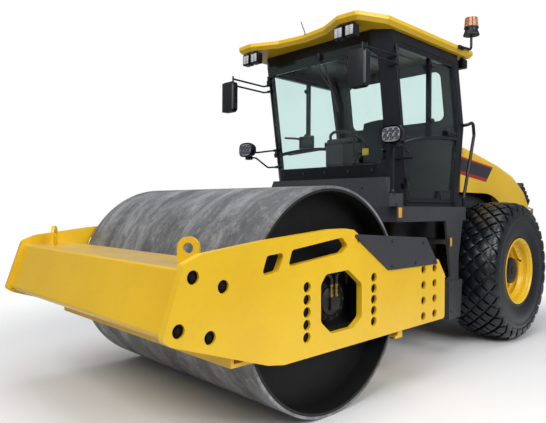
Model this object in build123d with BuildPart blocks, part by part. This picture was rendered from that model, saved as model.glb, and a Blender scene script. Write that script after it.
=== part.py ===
"""Single-drum road roller: an articulated machine with a smooth steel drum in front,
two driven tyres at the rear, an enclosed cab and a hood that tilts up from the rear.

The front faces -Y, the machine's left is +X, and the ground is at z = 0. Every y below
is measured from the drum's axis, and the drawing planes put it into the frame, whose
origin is on the ground under the middle of the machine.
"""
from build123d import *
import math
import os

# Layout
front_overhang = 1350
wheelbase = 3000
rear_overhang = 1500
overall_length = front_overhang + wheelbase + rear_overhang
drum_y = front_overhang - overall_length / 2
pivot_y = 1500
roll_axis_z = 700
running_gap = 0.3
seat_gap = 0.3

# Drum
drum_radius = 765
drum_half = 1065
shell_thickness = 36
head_recess = 160
head_thickness = 25
drum_hub_radius = 190
drum_hub_length = 60
stub_radius = 70

# Front frame
plate_outer = 1150
plate_thickness = 45
plate_inner = plate_outer - plate_thickness
plate_corner = 28
column_hole = 33
beam_hole = 37
buffer_columns = (-335, 353)
buffer_rows = 5
buffer_pitch = 77
buffer_middle = -23
rear_columns = (1010, 1178)
rear_rows = 4
rear_pitch = 122
rear_middle = -48
cover_thickness = 8
lug_x = 930
lug_y = -1054
lug_z = 394
lug_radius = 63
lug_hole = 30
lug_thickness = 25
lug_turn = 55
beam_top = 305
scraper_thickness = 22
scraper_gap = 8
scraper_reach = 165
rear_scraper_reach = 95
front_scraper_z = -251
rear_scraper_z = -352

# Rear beam, roll bearing and centre link
rear_beam_front = 930
rear_beam_back = 1260
rear_beam_low = -286
rear_beam_high = 162
bearing_radius = 175
bearing_back = 1290
shaft_radius = 90
shaft_length = 280
link_flange_radius = 170
link_flange = 32
link_barrel_radius = 105
link_half_height = 150
link_pin_radius = 45
ear_thickness = 40
cylinder_arm_x = 250
cylinder_arm_y = pivot_y - 100
cylinder_ear_radius = 46
cylinder_ear_thickness = 20

# Steering cylinders
cylinder_base_x = 210
cylinder_base_y = pivot_y + 500
eye_radius = 40
eye_thickness = 50
eye_gap = 2
barrel_radius = 44
barrel_bore = 36
barrel_length = 390
rod_radius = 22
rod_length = 400
piston_length = 22
barrel_start = cylinder_ear_radius + 8
barrel_cap = 6
barrel_gland = 20
cylinder_pin_radius = 20

# Wheels and axle
wheel_radius = 725
wheel_x = 864
tyre_half = 263
bead_half = 200
rim_half = 217
rim_radius = 318
rim_wall = 14
rim_well_radius = 292
rim_well_half = 128
lug_height = 22
lugs_around = 16
lug_half_across = 84
lug_half_around = 116
lug_root = 14
lug_row_step = 100
shoulder_half = 190
shoulder_foot = 640
shoulder_lug_height = 18
shoulder_lug_end = 88
flange_radius = 345
disc_x = 60
disc_thickness = 16
hub_radius = 128
hub_cap_radius = 138
hub_reach = 108
spindle_radius = 70
axle_tube_radius = 105
axle_bulge_radius = 175
axle_end = 560
pad_top = 905
pad_reach = 310
pad_slope = 130

# Rear chassis
chassis_half = 420
chassis_plate = 40
chassis_low = 430
deck_bottom = 1262
deck_top = 1395
chassis_front = 1700
bulkhead_y = 2140
bulkhead_thickness = 30
rail_height = 55
bumper_half = 700
bumper_low = 560
bumper_top = 1040
bumper_back = wheelbase + rear_overhang
bumper_depth = 300
chassis_back = bumper_back - bumper_depth
tow_pin_radius = 17
tow_slot_z = 800
tow_slot_half = 65
tow_slot_depth = 90

# Platform and steps
deck_half = 850
deck_front = 1090
deck_rear = 2300
step_gap = 35
apron_top = 1650
apron_half = 775
apron_top_half = 700

# Cab
cab_half = 780
cab_wall = 46
cab_top = 2900
cab_foot_y = 1200
cab_sill_y = 1160
cab_brow_y = 980
cab_brow_z = 2800
cab_back_low_y = 2267
cab_back_mid_y = 2386
cab_back_mid_z = 2205
cab_back_top_y = 2250
cab_front_half = 620
cab_corner_run = 145
cab_corner_round = 120
boss_set = 115
boss_radius = 14
door_gap = 6
door_thickness = 40
door_frame = 42
door_front_low = (1345, 1425)
door_front_top = (1132, 2815)
door_back_top = (2188, 2815)
door_back_mid = (2316, 2205)
door_back_low = (2199, 1425)
rail_width = 34
glass_thickness = 6
hinge_radius = 13
hinge_length = 90
hinge_heights = (1600, 1960, 2722)
screen_low = 115
screen_high = 1085
screen_half = 675
screen_depth = 20

# Roof, lamps, mirrors and rails
roof_low = cab_top
roof_edge = 62
roof_bevel = 30
roof_crown = 80
roof_half = 850
lamp_width = 100
lamp_height = 105
lamp_depth = 62
lamp_y = 732
lamp_xs = (526, 643)
rail_radius = 16
beacon_x = roof_half + 24
beacon_y = 2350
beacon_foot = 3107
beacon_stand = 75
lens_height = 94
beacon_base = beacon_foot + beacon_stand
beacon_top = beacon_base + lens_height
mirror_tube = 9
mirror_x = 779
mirror_y = 625
mirror_z = 2471
mirror_arm_heights = (2600, 2663)
lamp_arm_heights = (1810, 1985)

# Hood and engine
hood_front = 2450
hood_half = 715
hood_wall = 18
hood_edge_z = 1547
arch_radius = hood_edge_z - wheel_radius
arch_start = 24
hood_back_top = (4262, 1368)
hood_back_low = (4325, 1050)
hood_hinge_y = hood_front + 50
hood_hinge_z = 1960
hood_pin_radius = 15
hood_post_half = 35
hood_ear_thickness = 16


def side(x, y=0, z=0):
    """Plane facing +X, drawn in y and z from the point (x, y, z)."""
    return Plane(origin=(x, drum_y + y, z), x_dir=(0, 1, 0), z_dir=(1, 0, 0))


def across(y, z=0, x=0):
    """Plane facing -Y, drawn in x and z from the point (x, y, z)."""
    return Plane(origin=(x, drum_y + y, z), x_dir=(1, 0, 0), z_dir=(0, -1, 0))


def level(z, y=0, x=0):
    """Plane facing +Z, drawn in x and y from the point (x, y, z)."""
    return Plane(origin=(x, drum_y + y, z), x_dir=(1, 0, 0), z_dir=(0, 0, 1))


def outline(points, radius=0, mode=Mode.ADD):
    """Fill a closed outline, with its corners rounded, in the sketch being drawn."""
    with BuildLine() as edge:
        if radius:
            FilletPolyline(*points, radius=radius, close=True)
        else:
            Polyline(*points, close=True)
    make_face(edge.line.edges(), mode=mode)


def on_both_sides(piece):
    """A part with its mirror image across the machine's middle plane."""
    with BuildPart() as pair:
        add(piece.part)
        mirror(piece.part, about=Plane.YZ)
    return pair


def opposite(piece):
    """The mirror image of a part across the machine's middle plane."""
    with BuildPart() as other:
        mirror(piece.part, about=Plane.YZ)
    return other


drum_axis = Axis((0, drum_y, drum_radius), (1, 0, 0))
wheel_axis = Axis((0, drum_y + wheelbase, wheel_radius), (1, 0, 0))

# Drum: rolled shell, and two recessed heads that carry the bearing hubs
with BuildPart() as drum_shell:
    with BuildSketch(across(0, drum_radius)):
        with Locations((0, drum_radius - shell_thickness / 2)):
            Rectangle(2 * drum_half, shell_thickness)
    revolve(axis=drum_axis)
with BuildPart() as drum_heads:
    with BuildSketch(across(0, drum_radius)):
        head_middle = drum_half - head_recess - head_thickness / 2
        head_height = drum_radius - shell_thickness - seat_gap - stub_radius - running_gap
        head_level = stub_radius + running_gap + head_height / 2
        hub_height = drum_hub_radius - stub_radius - running_gap
        hub_level = stub_radius + running_gap + hub_height / 2
        with Locations((-head_middle, head_level), (head_middle, head_level)):
            Rectangle(head_thickness, head_height)
        with Locations((-head_middle, hub_level), (head_middle, hub_level)):
            Rectangle(drum_hub_length, hub_height)
    revolve(axis=drum_axis)

# Side plates of the front frame, drawn from the drum's centre
plate_outline = [
    (-front_overhang - 4.6, -30), (-1305, -65), (-660, -282), (-530, -304), (1340, -290), (1340, 70),
    (1235, 203), (548, 203), (122, 470), (40, 480), (-110, 479), (-700, 429),
    (-1130, 378), (-1235, 335),
]
window_outline = [
    (-209, 133), (-207, -102), (-102, -190), (120, -186), (215, -127), (213, 101),
    (67, 206), (-158, 196),
]
small_slot = [(-672, 343), (-528, 356), (-580, 248), (-713, 230)]
long_slot = [(-503, 267), (-468, 366), (0, 424), (62, 366), (8, 323)]
beam_holes = [(-1179, 264), (-986, 199), (-1263, 6), (-1070, -57)]


def plate_columns(columns, rows, pitch, middle):
    """Centres of the holes in upright rows, drawn from the drum's centre."""
    lowest = middle - pitch * (rows - 1) / 2
    return [(y, lowest + pitch * row) for y in columns for row in range(rows)]


with BuildPart() as side_plate_left:
    with BuildSketch(side(plate_inner, 0, drum_radius)):
        outline(plate_outline, plate_corner)
        outline(window_outline, 45, Mode.SUBTRACT)
        outline(small_slot, 22, Mode.SUBTRACT)
        outline(long_slot, 22, Mode.SUBTRACT)
        with Locations(*plate_columns(buffer_columns, buffer_rows, buffer_pitch, buffer_middle)):
            Circle(column_hole, mode=Mode.SUBTRACT)
        with Locations(*plate_columns(rear_columns, rear_rows, rear_pitch, rear_middle)):
            Circle(column_hole, mode=Mode.SUBTRACT)
        with Locations(*beam_holes):
            Circle(beam_hole, mode=Mode.SUBTRACT)
    extrude(amount=plate_thickness)
side_plate_right = opposite(side_plate_left)

# Dark cover plates bolted over the side plates' rear top edges
cover_outline = [(100, 442), (1034, 386), (1221, 167), (522, 168)]
with BuildPart() as cover_left:
    with BuildSketch(side(plate_outer, 0, drum_radius)):
        outline(cover_outline, 12)
    extrude(amount=cover_thickness)
covers = on_both_sides(cover_left)

# Front beam: a box section with a sloped face, and two lifting lugs on its top
beam_section = [(-1215, beam_top), (-1325, -20), (-1280, -55), (-1000, -55), (-815, 250), (-800, beam_top)]
with BuildPart() as front_beam:
    with BuildSketch(side(-plate_inner, 0, drum_radius)):
        outline(beam_section, 20)
    extrude(amount=2 * plate_inner)
    for end in (-1, 1):
        turn = math.radians(lug_turn)
        lug_plane = Plane(
            origin=(end * lug_x, drum_y + lug_y, drum_radius),
            x_dir=(math.sin(turn), end * math.cos(turn), 0),
            z_dir=(end * math.cos(turn), -math.sin(turn), 0),
        )
        with BuildSketch(lug_plane):
            with Locations((0, lug_z)):
                Circle(lug_radius)
            with Locations((0, (lug_z + beam_top - 10) / 2)):
                Rectangle(2 * lug_radius, lug_z - beam_top + 10)
            with Locations((0, lug_z)):
                Circle(lug_hole, mode=Mode.SUBTRACT)
        extrude(amount=lug_thickness / 2, both=True)

# Rear beam with the roll bearing's housing
with BuildPart() as rear_beam:
    with BuildSketch(side(-plate_inner, 0, drum_radius)):
        outline([
            (rear_beam_front, rear_beam_low), (rear_beam_back, rear_beam_low),
            (rear_beam_back, rear_beam_high), (rear_beam_front, rear_beam_high),
        ], 18)
    extrude(amount=2 * plate_inner)
    with BuildSketch(across(bearing_back, roll_axis_z)):
        Circle(bearing_radius)
    extrude(amount=bearing_back - rear_beam_front)
    with BuildSketch(across(bearing_back, roll_axis_z)):
        Circle(shaft_radius + running_gap)
    extrude(amount=shaft_length + 10, mode=Mode.SUBTRACT)

# Scrapers: blades along the drum between the side plates


def drum_reach(height):
    """How far the drum's surface stands from its axis plane at a height over the axis."""
    return math.sqrt(drum_radius ** 2 - height ** 2)


with BuildPart() as scrapers:
    tip = -drum_reach(front_scraper_z) - scraper_gap
    with BuildSketch(side(-plate_inner, 0, drum_radius + front_scraper_z)):
        with Locations((tip - scraper_reach / 2, 0)):
            Rectangle(scraper_reach, scraper_thickness)
        with Locations((tip - scraper_reach + 11, 40)):
            Rectangle(22, 80)
    extrude(amount=2 * plate_inner)
    tip = drum_reach(rear_scraper_z) + scraper_gap
    with BuildSketch(side(-plate_inner, 0, drum_radius + rear_scraper_z)):
        with Locations((tip + rear_scraper_reach / 2, 0)):
            Rectangle(rear_scraper_reach, scraper_thickness)
    extrude(amount=2 * plate_inner)
    for end in (-plate_inner, plate_inner - 20):
        with BuildSketch(side(end, 0, drum_radius + rear_scraper_z)):
            outline([
                (tip + 20, -scraper_thickness / 2), (tip + rear_scraper_reach, -scraper_thickness / 2),
                (tip + rear_scraper_reach, 110), (tip + 70, 110),
            ])
        extrude(amount=20)

# Drum carriers: a bracket bolted to each side plate, with the stub that holds the drum
carrier_plate_x = drum_half - head_recess + drum_hub_length / 2 - head_thickness / 2 + 30
carrier_half = 110
carrier_height = 350
with BuildPart() as carrier_left:
    for column in buffer_columns:
        with BuildSketch(side(carrier_plate_x, column, drum_radius + buffer_middle)):
            Rectangle(carrier_half, carrier_height)
        extrude(amount=plate_inner - carrier_plate_x)
    with BuildSketch(side(carrier_plate_x, 0, drum_radius + buffer_middle)):
        outline([
            (buffer_columns[0] - carrier_half / 2, -carrier_height / 2),
            (buffer_columns[1] + carrier_half / 2, -carrier_height / 2),
            (buffer_columns[1] + carrier_half / 2, carrier_height / 2),
            (buffer_columns[0] - carrier_half / 2, carrier_height / 2),
        ], 30)
    extrude(amount=28)
    with BuildSketch(side(carrier_plate_x, 0, drum_radius)):
        Circle(stub_radius)
    extrude(amount=-(drum_hub_length + 40))
    with BuildSketch(side(carrier_plate_x + 28, 0, drum_radius)):
        Circle(140)
    extrude(amount=70)
carriers = on_both_sides(carrier_left)

# Centre link: upright steering pin at the back, roll shaft at the front
with BuildPart() as centre_link:
    with BuildSketch(level(roll_axis_z - link_half_height + running_gap, pivot_y)):
        Circle(link_barrel_radius)
    extrude(amount=2 * (link_half_height - running_gap))
    with BuildSketch(level(roll_axis_z - link_half_height - ear_thickness, pivot_y)):
        Circle(link_pin_radius)
    extrude(amount=2 * (link_half_height + ear_thickness))
    with BuildSketch(across(bearing_back + running_gap, roll_axis_z)):
        Circle(link_flange_radius)
    extrude(amount=-link_flange)
    with BuildSketch(across(bearing_back + running_gap, roll_axis_z)):
        Circle(shaft_radius)
    extrude(amount=shaft_length)
    with BuildSketch(level(roll_axis_z - 120, 0)):
        outline([
            (-100, bearing_back + 10), (100, bearing_back + 10),
            (link_barrel_radius - 10, pivot_y), (-link_barrel_radius + 10, pivot_y),
        ])
    extrude(amount=240)
    for low in (-eye_thickness / 2 - eye_gap - cylinder_ear_thickness, eye_thickness / 2 + eye_gap):
        with BuildSketch(level(roll_axis_z + low)):
            outline([
                (-cylinder_arm_x, cylinder_arm_y - cylinder_ear_radius),
                (cylinder_arm_x, cylinder_arm_y - cylinder_ear_radius),
                (cylinder_arm_x, cylinder_arm_y + cylinder_ear_radius),
                (-cylinder_arm_x, cylinder_arm_y + cylinder_ear_radius),
            ])
            with Locations((-cylinder_arm_x, cylinder_arm_y), (cylinder_arm_x, cylinder_arm_y)):
                Circle(cylinder_ear_radius)
        extrude(amount=cylinder_ear_thickness)

# Steering cylinders, drawn along the line from the base pin to the rod's eye
stroke_x = cylinder_arm_x - cylinder_base_x
stroke_y = cylinder_arm_y - cylinder_base_y
cylinder_length = math.hypot(stroke_x, stroke_y)


def along_cylinder(distance):
    """Plane across the left cylinder at a distance from its base pin, facing the rod's eye."""
    share = distance / cylinder_length
    return Plane(
        origin=(cylinder_base_x + share * stroke_x, drum_y + cylinder_base_y + share * stroke_y, roll_axis_z),
        x_dir=(0, 0, 1),
        z_dir=(stroke_x, stroke_y, 0),
    )


with BuildPart() as steer_barrel_left:
    with BuildSketch(level(roll_axis_z - eye_thickness / 2, cylinder_base_y, cylinder_base_x)):
        Circle(eye_radius)
    extrude(amount=eye_thickness)
    with BuildSketch(along_cylinder(0)):
        Rectangle(eye_thickness, 60)
    extrude(amount=barrel_start + barrel_cap / 2)
    with BuildSketch(along_cylinder(barrel_start)):
        Circle(barrel_radius)
    extrude(amount=barrel_length - barrel_start)
    with BuildSketch(along_cylinder(barrel_start + barrel_cap)):
        Circle(barrel_bore)
    extrude(amount=barrel_length - barrel_start - barrel_cap - barrel_gland, mode=Mode.SUBTRACT)
    with BuildSketch(along_cylinder(barrel_length - barrel_gland - 5)):
        Circle(rod_radius + running_gap)
    extrude(amount=barrel_gland + 10, mode=Mode.SUBTRACT)
    with BuildSketch(level(roll_axis_z - 2 * eye_radius, cylinder_base_y, cylinder_base_x)):
        Circle(cylinder_pin_radius + running_gap)
    extrude(amount=4 * eye_radius, mode=Mode.SUBTRACT)
with BuildPart() as steer_rod_left:
    with BuildSketch(level(roll_axis_z - eye_thickness / 2, cylinder_arm_y, cylinder_arm_x)):
        Circle(eye_radius)
    extrude(amount=eye_thickness)
    with BuildSketch(along_cylinder(cylinder_length - rod_length)):
        Circle(rod_radius)
    extrude(amount=rod_length - 20)
    with BuildSketch(along_cylinder(cylinder_length - rod_length)):
        Circle(barrel_bore - running_gap)
    extrude(amount=piston_length)
steer_barrel_right = opposite(steer_barrel_left)
steer_rod_right = opposite(steer_rod_left)

# Rear chassis: side plates with the hood's posts, yoke plates, and the walls and rails between
plate_shape = [
    (chassis_front, chassis_low), (wheelbase - pad_reach - pad_slope, chassis_low), (wheelbase - pad_reach, pad_top),
    (wheelbase + pad_reach, pad_top), (wheelbase + pad_reach + pad_slope, bumper_low), (chassis_back, bumper_low),
    (chassis_back, deck_bottom), (chassis_front, deck_bottom),
]
inside = chassis_half - chassis_plate
with BuildPart() as chassis_side_left:
    with BuildSketch(side(inside)):
        outline(plate_shape)
    extrude(amount=chassis_plate)
    with BuildSketch(side(inside, hood_hinge_y)):
        with Locations((0, (hood_hinge_z + deck_bottom - 40) / 2)):
            Rectangle(2 * hood_post_half, hood_hinge_z - deck_bottom + 40)
        with Locations((0, hood_hinge_z)):
            Circle(hood_post_half)
    extrude(amount=chassis_plate)
    with BuildSketch(side(inside, hood_hinge_y, hood_hinge_z)):
        Circle(hood_pin_radius)
    extrude(amount=chassis_plate + 30)
chassis_sides = on_both_sides(chassis_side_left)
with BuildPart() as chassis_yoke:
    for low in (-link_half_height - ear_thickness, link_half_height):
        with BuildSketch(level(roll_axis_z + low)):
            outline([
                (-link_barrel_radius, pivot_y), (link_barrel_radius, pivot_y), (inside, chassis_front + 60),
                (inside, bulkhead_y), (-inside, bulkhead_y), (-inside, chassis_front + 60),
            ])
            with Locations((0, pivot_y)):
                Circle(link_barrel_radius)
                Circle(link_pin_radius + running_gap, mode=Mode.SUBTRACT)
        extrude(amount=ear_thickness)
with BuildPart() as chassis_walls:
    for wall in (bulkhead_y, chassis_back - bulkhead_thickness):
        low = chassis_low if wall == bulkhead_y else bumper_low
        with BuildSketch(across(wall, (low + deck_bottom) / 2)):
            Rectangle(2 * inside, deck_bottom - low)
        extrude(amount=-bulkhead_thickness)
    for rail in (wheelbase - 240, wheelbase + 560):
        with BuildSketch(across(rail, pad_top + rail_height / 2)):
            Rectangle(2 * inside, rail_height)
        extrude(amount=-90)
    for base in (-cylinder_base_x, cylinder_base_x):
        for low in (-eye_thickness / 2 - eye_gap - cylinder_ear_thickness, eye_thickness / 2 + eye_gap):
            with BuildSketch(level(roll_axis_z + low, cylinder_base_y, base)):
                Circle(cylinder_ear_radius)
                with Locations((0, (bulkhead_y - cylinder_base_y) / 2)):
                    Rectangle(2 * cylinder_ear_radius, bulkhead_y - cylinder_base_y)
            extrude(amount=cylinder_ear_thickness)
        with BuildSketch(level(roll_axis_z - eye_thickness / 2 - eye_gap - 10, cylinder_base_y, base)):
            Circle(cylinder_pin_radius)
        extrude(amount=eye_thickness + 2 * eye_gap + 20)

# Rear bumper: a cast weight with a tow clevis
with BuildPart() as rear_bumper:
    with BuildSketch(side(-bumper_half)):
        outline([
            (chassis_back, bumper_low), (bumper_back - 90, bumper_low), (bumper_back, bumper_low + 110),
            (bumper_back, bumper_top), (chassis_back, bumper_top),
        ])
    extrude(amount=2 * bumper_half)
    upright = rear_bumper.edges().filter_by(Axis.Z).group_by(Axis.Y)[-1]
    chamfer(upright, length=70)
    with BuildSketch(across(bumper_back, tow_slot_z)):
        Rectangle(2 * tow_slot_half, tow_slot_depth)
    extrude(amount=tow_slot_depth, both=True, mode=Mode.SUBTRACT)
    with BuildSketch(level(tow_slot_z - 100, bumper_back - tow_slot_depth / 2)):
        Circle(tow_pin_radius)
    extrude(amount=bumper_top - tow_slot_z + 110, mode=Mode.SUBTRACT)

# Rear axle with the pads that carry the chassis
with BuildPart() as rear_axle:
    with BuildSketch(across(wheelbase, wheel_radius)):
        outline([
            (-axle_end, 0), (-axle_end, axle_tube_radius), (-320, axle_tube_radius), (-160, axle_bulge_radius),
            (160, axle_bulge_radius), (320, axle_tube_radius), (axle_end, axle_tube_radius), (axle_end, 0),
        ])
        for end in (-1, 1):
            with Locations((end * (axle_end + wheel_x + disc_x + hub_reach / 2) / 2, spindle_radius / 2)):
                Rectangle(wheel_x + disc_x + hub_reach / 2 - axle_end, spindle_radius)
    revolve(axis=wheel_axis)
    for pad in (-chassis_half + chassis_plate / 2, chassis_half - chassis_plate / 2):
        with BuildSketch(side(pad - 60, wheelbase, wheel_radius)):
            with Locations((0, (pad_top - wheel_radius) / 2)):
                Rectangle(230, pad_top - wheel_radius)
        extrude(amount=120)

# Wheels
body_radius = wheel_radius - lug_height
tyre_section = [
    (-bead_half, rim_radius), (-tyre_half, 450), (-tyre_half, shoulder_foot), (-shoulder_half, body_radius),
    (shoulder_half, body_radius), (tyre_half, shoulder_foot), (tyre_half, 450), (bead_half, rim_radius),
    (bead_half - 40, rim_radius), (tyre_half - 34, 500), (tyre_half - 70, shoulder_foot - 10),
    (-tyre_half + 70, shoulder_foot - 10), (-tyre_half + 34, 500), (-bead_half + 40, rim_radius),
]
# Tread: rows of diamond lugs, each turned half a step from the row beside it, and shoulder lugs
tread_top = math.sqrt(wheel_radius ** 2 - lug_half_around ** 2)
shoulder_lean = math.atan2(body_radius - shoulder_foot, tyre_half - shoulder_half)
crown_lug = [(-lug_half_across, 0), (0, -lug_half_around), (lug_half_across, 0), (0, lug_half_around)]
lug_tip = (tread_top - body_radius - shoulder_lug_height * math.cos(shoulder_lean)) / math.sin(shoulder_lean)
shoulder_lug = [
    (-lug_tip, 0), (lug_half_across - lug_tip, -lug_half_around), (shoulder_lug_end, -lug_half_around),
    (shoulder_lug_end, lug_half_around), (lug_half_across - lug_tip, lug_half_around),
]


def tread_lug(points, across_tyre, top, lean, height):
    """One lug at the tyre's top, its outer face leaning with the tyre's shoulder."""
    with BuildPart(mode=Mode.PRIVATE) as lug:
        with BuildSketch(Plane(
            origin=(wheel_x + across_tyre, drum_y + wheelbase, wheel_radius + top),
            x_dir=(math.cos(lean), 0, -math.sin(lean)), z_dir=(math.sin(lean), 0, math.cos(lean)),
        )):
            Polygon(*points, align=None)
        extrude(amount=-height - lug_root, taper=-10)
    return lug.part


def around_tyre(lug, turned):
    step = 360 / lugs_around
    return [lug.rotate(wheel_axis, step * (k + turned)) for k in range(lugs_around)]


with BuildPart() as tyre_left:
    with BuildSketch(across(wheelbase, wheel_radius, wheel_x)):
        outline(tyre_section)
    revolve(axis=wheel_axis)
    for across_tyre, turned in ((0, 0), (-lug_row_step, 0.5), (lug_row_step, 0.5)):
        add(around_tyre(tread_lug(crown_lug, across_tyre, tread_top, 0, lug_height), turned))
    outer_lug = tread_lug(
        shoulder_lug, shoulder_half + shoulder_lug_height * math.sin(shoulder_lean),
        body_radius + shoulder_lug_height * math.cos(shoulder_lean), shoulder_lean, shoulder_lug_height,
    )
    add(around_tyre(outer_lug, 0))
    add(around_tyre(mirror(outer_lug, Plane.YZ.offset(wheel_x)), 0))
with BuildPart() as rim_left:
    with BuildSketch(across(wheelbase, wheel_radius, wheel_x)):
        rim_seat = rim_radius - seat_gap
        rim_slope = rim_well_half + 22
        outline([
            (-rim_half, rim_seat), (-rim_slope, rim_seat), (-rim_well_half, rim_well_radius),
            (rim_well_half, rim_well_radius), (rim_slope, rim_seat), (rim_half, rim_seat),
            (rim_half, rim_seat - rim_wall), (rim_slope + 6, rim_seat - rim_wall),
            (rim_well_half + 6, rim_well_radius - rim_wall), (-rim_well_half - 6, rim_well_radius - rim_wall),
            (-rim_slope - 6, rim_seat - rim_wall), (-rim_half, rim_seat - rim_wall),
        ])
        for end in (-1, 1):
            with Locations((end * (rim_half + 7), (rim_radius - rim_wall + flange_radius) / 2)):
                Rectangle(14.2, flange_radius - rim_radius + rim_wall)
        outline([
            (disc_x, hub_radius - 20), (disc_x + disc_thickness, hub_radius - 20),
            (disc_x + disc_thickness, 200), (disc_x - 60 + disc_thickness, rim_well_radius - rim_wall + 2),
            (disc_x - 60, rim_well_radius - rim_wall + 2), (disc_x, 200),
        ])
        disc_face = disc_x + disc_thickness
        outline([
            (disc_x - 70, spindle_radius + running_gap), (disc_x + hub_reach / 2 + 10, spindle_radius + running_gap),
            (disc_x + hub_reach / 2 + 10, 0), (disc_x + hub_reach, 0), (disc_x + hub_reach, hub_cap_radius - 16),
            (disc_x + hub_reach - 18, hub_cap_radius), (disc_face + 1, hub_cap_radius),
            (disc_face - 2, hub_radius), (disc_x - 30, hub_radius), (disc_x - 30, hub_radius + 60),
            (disc_x - 70, hub_radius + 60),
        ])
    revolve(axis=wheel_axis)
tyre_right = opposite(tyre_left)
rim_right = opposite(rim_left)

# Platform: the deck under the cab with its sloped apron
with BuildPart() as platform:
    with BuildSketch(level(deck_bottom)):
        with Locations((0, (deck_front + deck_rear) / 2)):
            Rectangle(2 * deck_half, deck_rear - deck_front)
    extrude(amount=deck_top - deck_bottom)
    with BuildSketch(level(deck_top)):
        with Locations((0, (deck_front + cab_foot_y) / 2)):
            Rectangle(2 * apron_half, cab_foot_y - deck_front)
    with BuildSketch(level(apron_top)):
        with Locations((0, (deck_front + 50 + cab_foot_y) / 2)):
            Rectangle(2 * apron_top_half, cab_foot_y - deck_front - 50)
    loft()

# Steps in front of each tyre, and the foot box and reflector plate at the deck's front corner
step_back = wheelbase - wheel_radius - step_gap
with BuildPart() as step_left:
    with BuildSketch(side(deck_half - 24)):
        outline([
            (step_back - 330, deck_bottom), (step_back - 228, 734), (step_back - 280, 690), (step_back - 80, 690),
            (step_back - 80, 900), (step_back, deck_bottom),
        ])
    extrude(amount=24)
    with BuildSketch(side(chassis_half)):
        outline([
            (step_back - 315, 1040), (step_back - 130, 1040), (step_back - 130, 1075), (step_back - 322, 1075),
        ])
    extrude(amount=deck_half - 24 - chassis_half)
    with BuildSketch(side(chassis_half)):
        outline([(step_back - 300, 330), (step_back - 80, 330), (step_back - 40, 690), (step_back - 300, 690)])
    extrude(amount=deck_half + 20 - chassis_half)
    with BuildSketch(level(deck_top + seat_gap, 1080, deck_half - 35)):
        Rectangle(70, 200)
    extrude(amount=110)
    with BuildSketch(side(deck_half)):
        with Locations((1125, deck_top - 55)):
            Rectangle(90, 130)
    extrude(amount=8)
steps = on_both_sides(step_left)

# Cab frame: walls between the deck and the roof, with the windows and doorways cut
cab_outline = [
    (cab_foot_y, deck_top), (cab_foot_y, apron_top), (cab_sill_y, apron_top + 2), (cab_brow_y, cab_brow_z),
    (cab_brow_y + 8, cab_top), (cab_back_top_y, cab_top), (cab_back_mid_y, cab_back_mid_z),
    (cab_back_low_y, deck_top),
]
cab_inner = [
    (cab_foot_y + cab_wall, deck_top - 10), (cab_foot_y + cab_wall, apron_top), (cab_sill_y + cab_wall, apron_top + 40),
    (cab_brow_y + cab_wall, cab_brow_z), (cab_brow_y + cab_wall + 8, cab_top + 10),
    (cab_back_top_y - cab_wall, cab_top + 10), (cab_back_mid_y - cab_wall, cab_back_mid_z),
    (cab_back_low_y - cab_wall, deck_top - 10),
]
doorway = [door_front_low, door_front_top, door_back_top, door_back_mid, door_back_low]
screen_lean = (cab_sill_y - cab_brow_y) / (cab_brow_z - apron_top - 2)


def cab_front_y(height):
    """Where the windscreen's plane stands at a height."""
    return cab_sill_y - (height - apron_top - 2) * screen_lean


def cab_column(inset, low):
    """The cab's plan with its cut front corners, run up along the windscreen's lean."""
    with BuildSketch(level(low, cab_front_y(low)), mode=Mode.PRIVATE) as plan:
        outline([
            (-cab_front_half, 0), (cab_front_half, 0), (cab_half, cab_corner_run), (cab_half, 1400),
            (-cab_half, 1400), (-cab_half, cab_corner_run),
        ])
        fillet(plan.vertices().group_by(Axis.Y)[0], radius=cab_corner_round)
        if inset:
            offset(amount=-inset)
    return extrude(plan.sketch, amount=1600, dir=Vector(0, -screen_lean, 1).normalized(), mode=Mode.PRIVATE)


slope = Vector(0, cab_brow_y - cab_sill_y, cab_brow_z - apron_top - 2).normalized()
screen_plane = Plane(
    origin=(0, drum_y + cab_sill_y, apron_top + 2), x_dir=(1, 0, 0), z_dir=Vector(1, 0, 0).cross(slope)
)
back_slope = Vector(0, cab_back_top_y - cab_back_mid_y, cab_top - cab_back_mid_z).normalized()
back_plane = Plane(
    origin=(0, drum_y + cab_back_mid_y, cab_back_mid_z), x_dir=(1, 0, 0), z_dir=Vector(1, 0, 0).cross(back_slope)
)


def window(plane, low, high, half, shrink=0):
    """A rounded window drawn on a sloping plane between two distances up the slope."""
    with BuildSketch(plane, mode=Mode.PRIVATE) as sketch:
        with Locations((0, (low + high) / 2)):
            RectangleRounded(2 * half - 2 * shrink, high - low - 2 * shrink, 70 - shrink)
    return sketch.sketch


hinge_line = Vector(0, door_front_top[0] - door_front_low[0], door_front_top[1] - door_front_low[1]).normalized()
hinge_x = cab_half + 14


def on_hinge(height, y_shift=0):
    """Plane across the door's hinge line at a height."""
    run = (height - door_front_low[1]) / (door_front_top[1] - door_front_low[1])
    y = door_front_low[0] + run * (door_front_top[0] - door_front_low[0]) + door_gap / 2
    return Plane(origin=(hinge_x, drum_y + y + y_shift, height), x_dir=(1, 0, 0), z_dir=hinge_line)


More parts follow.
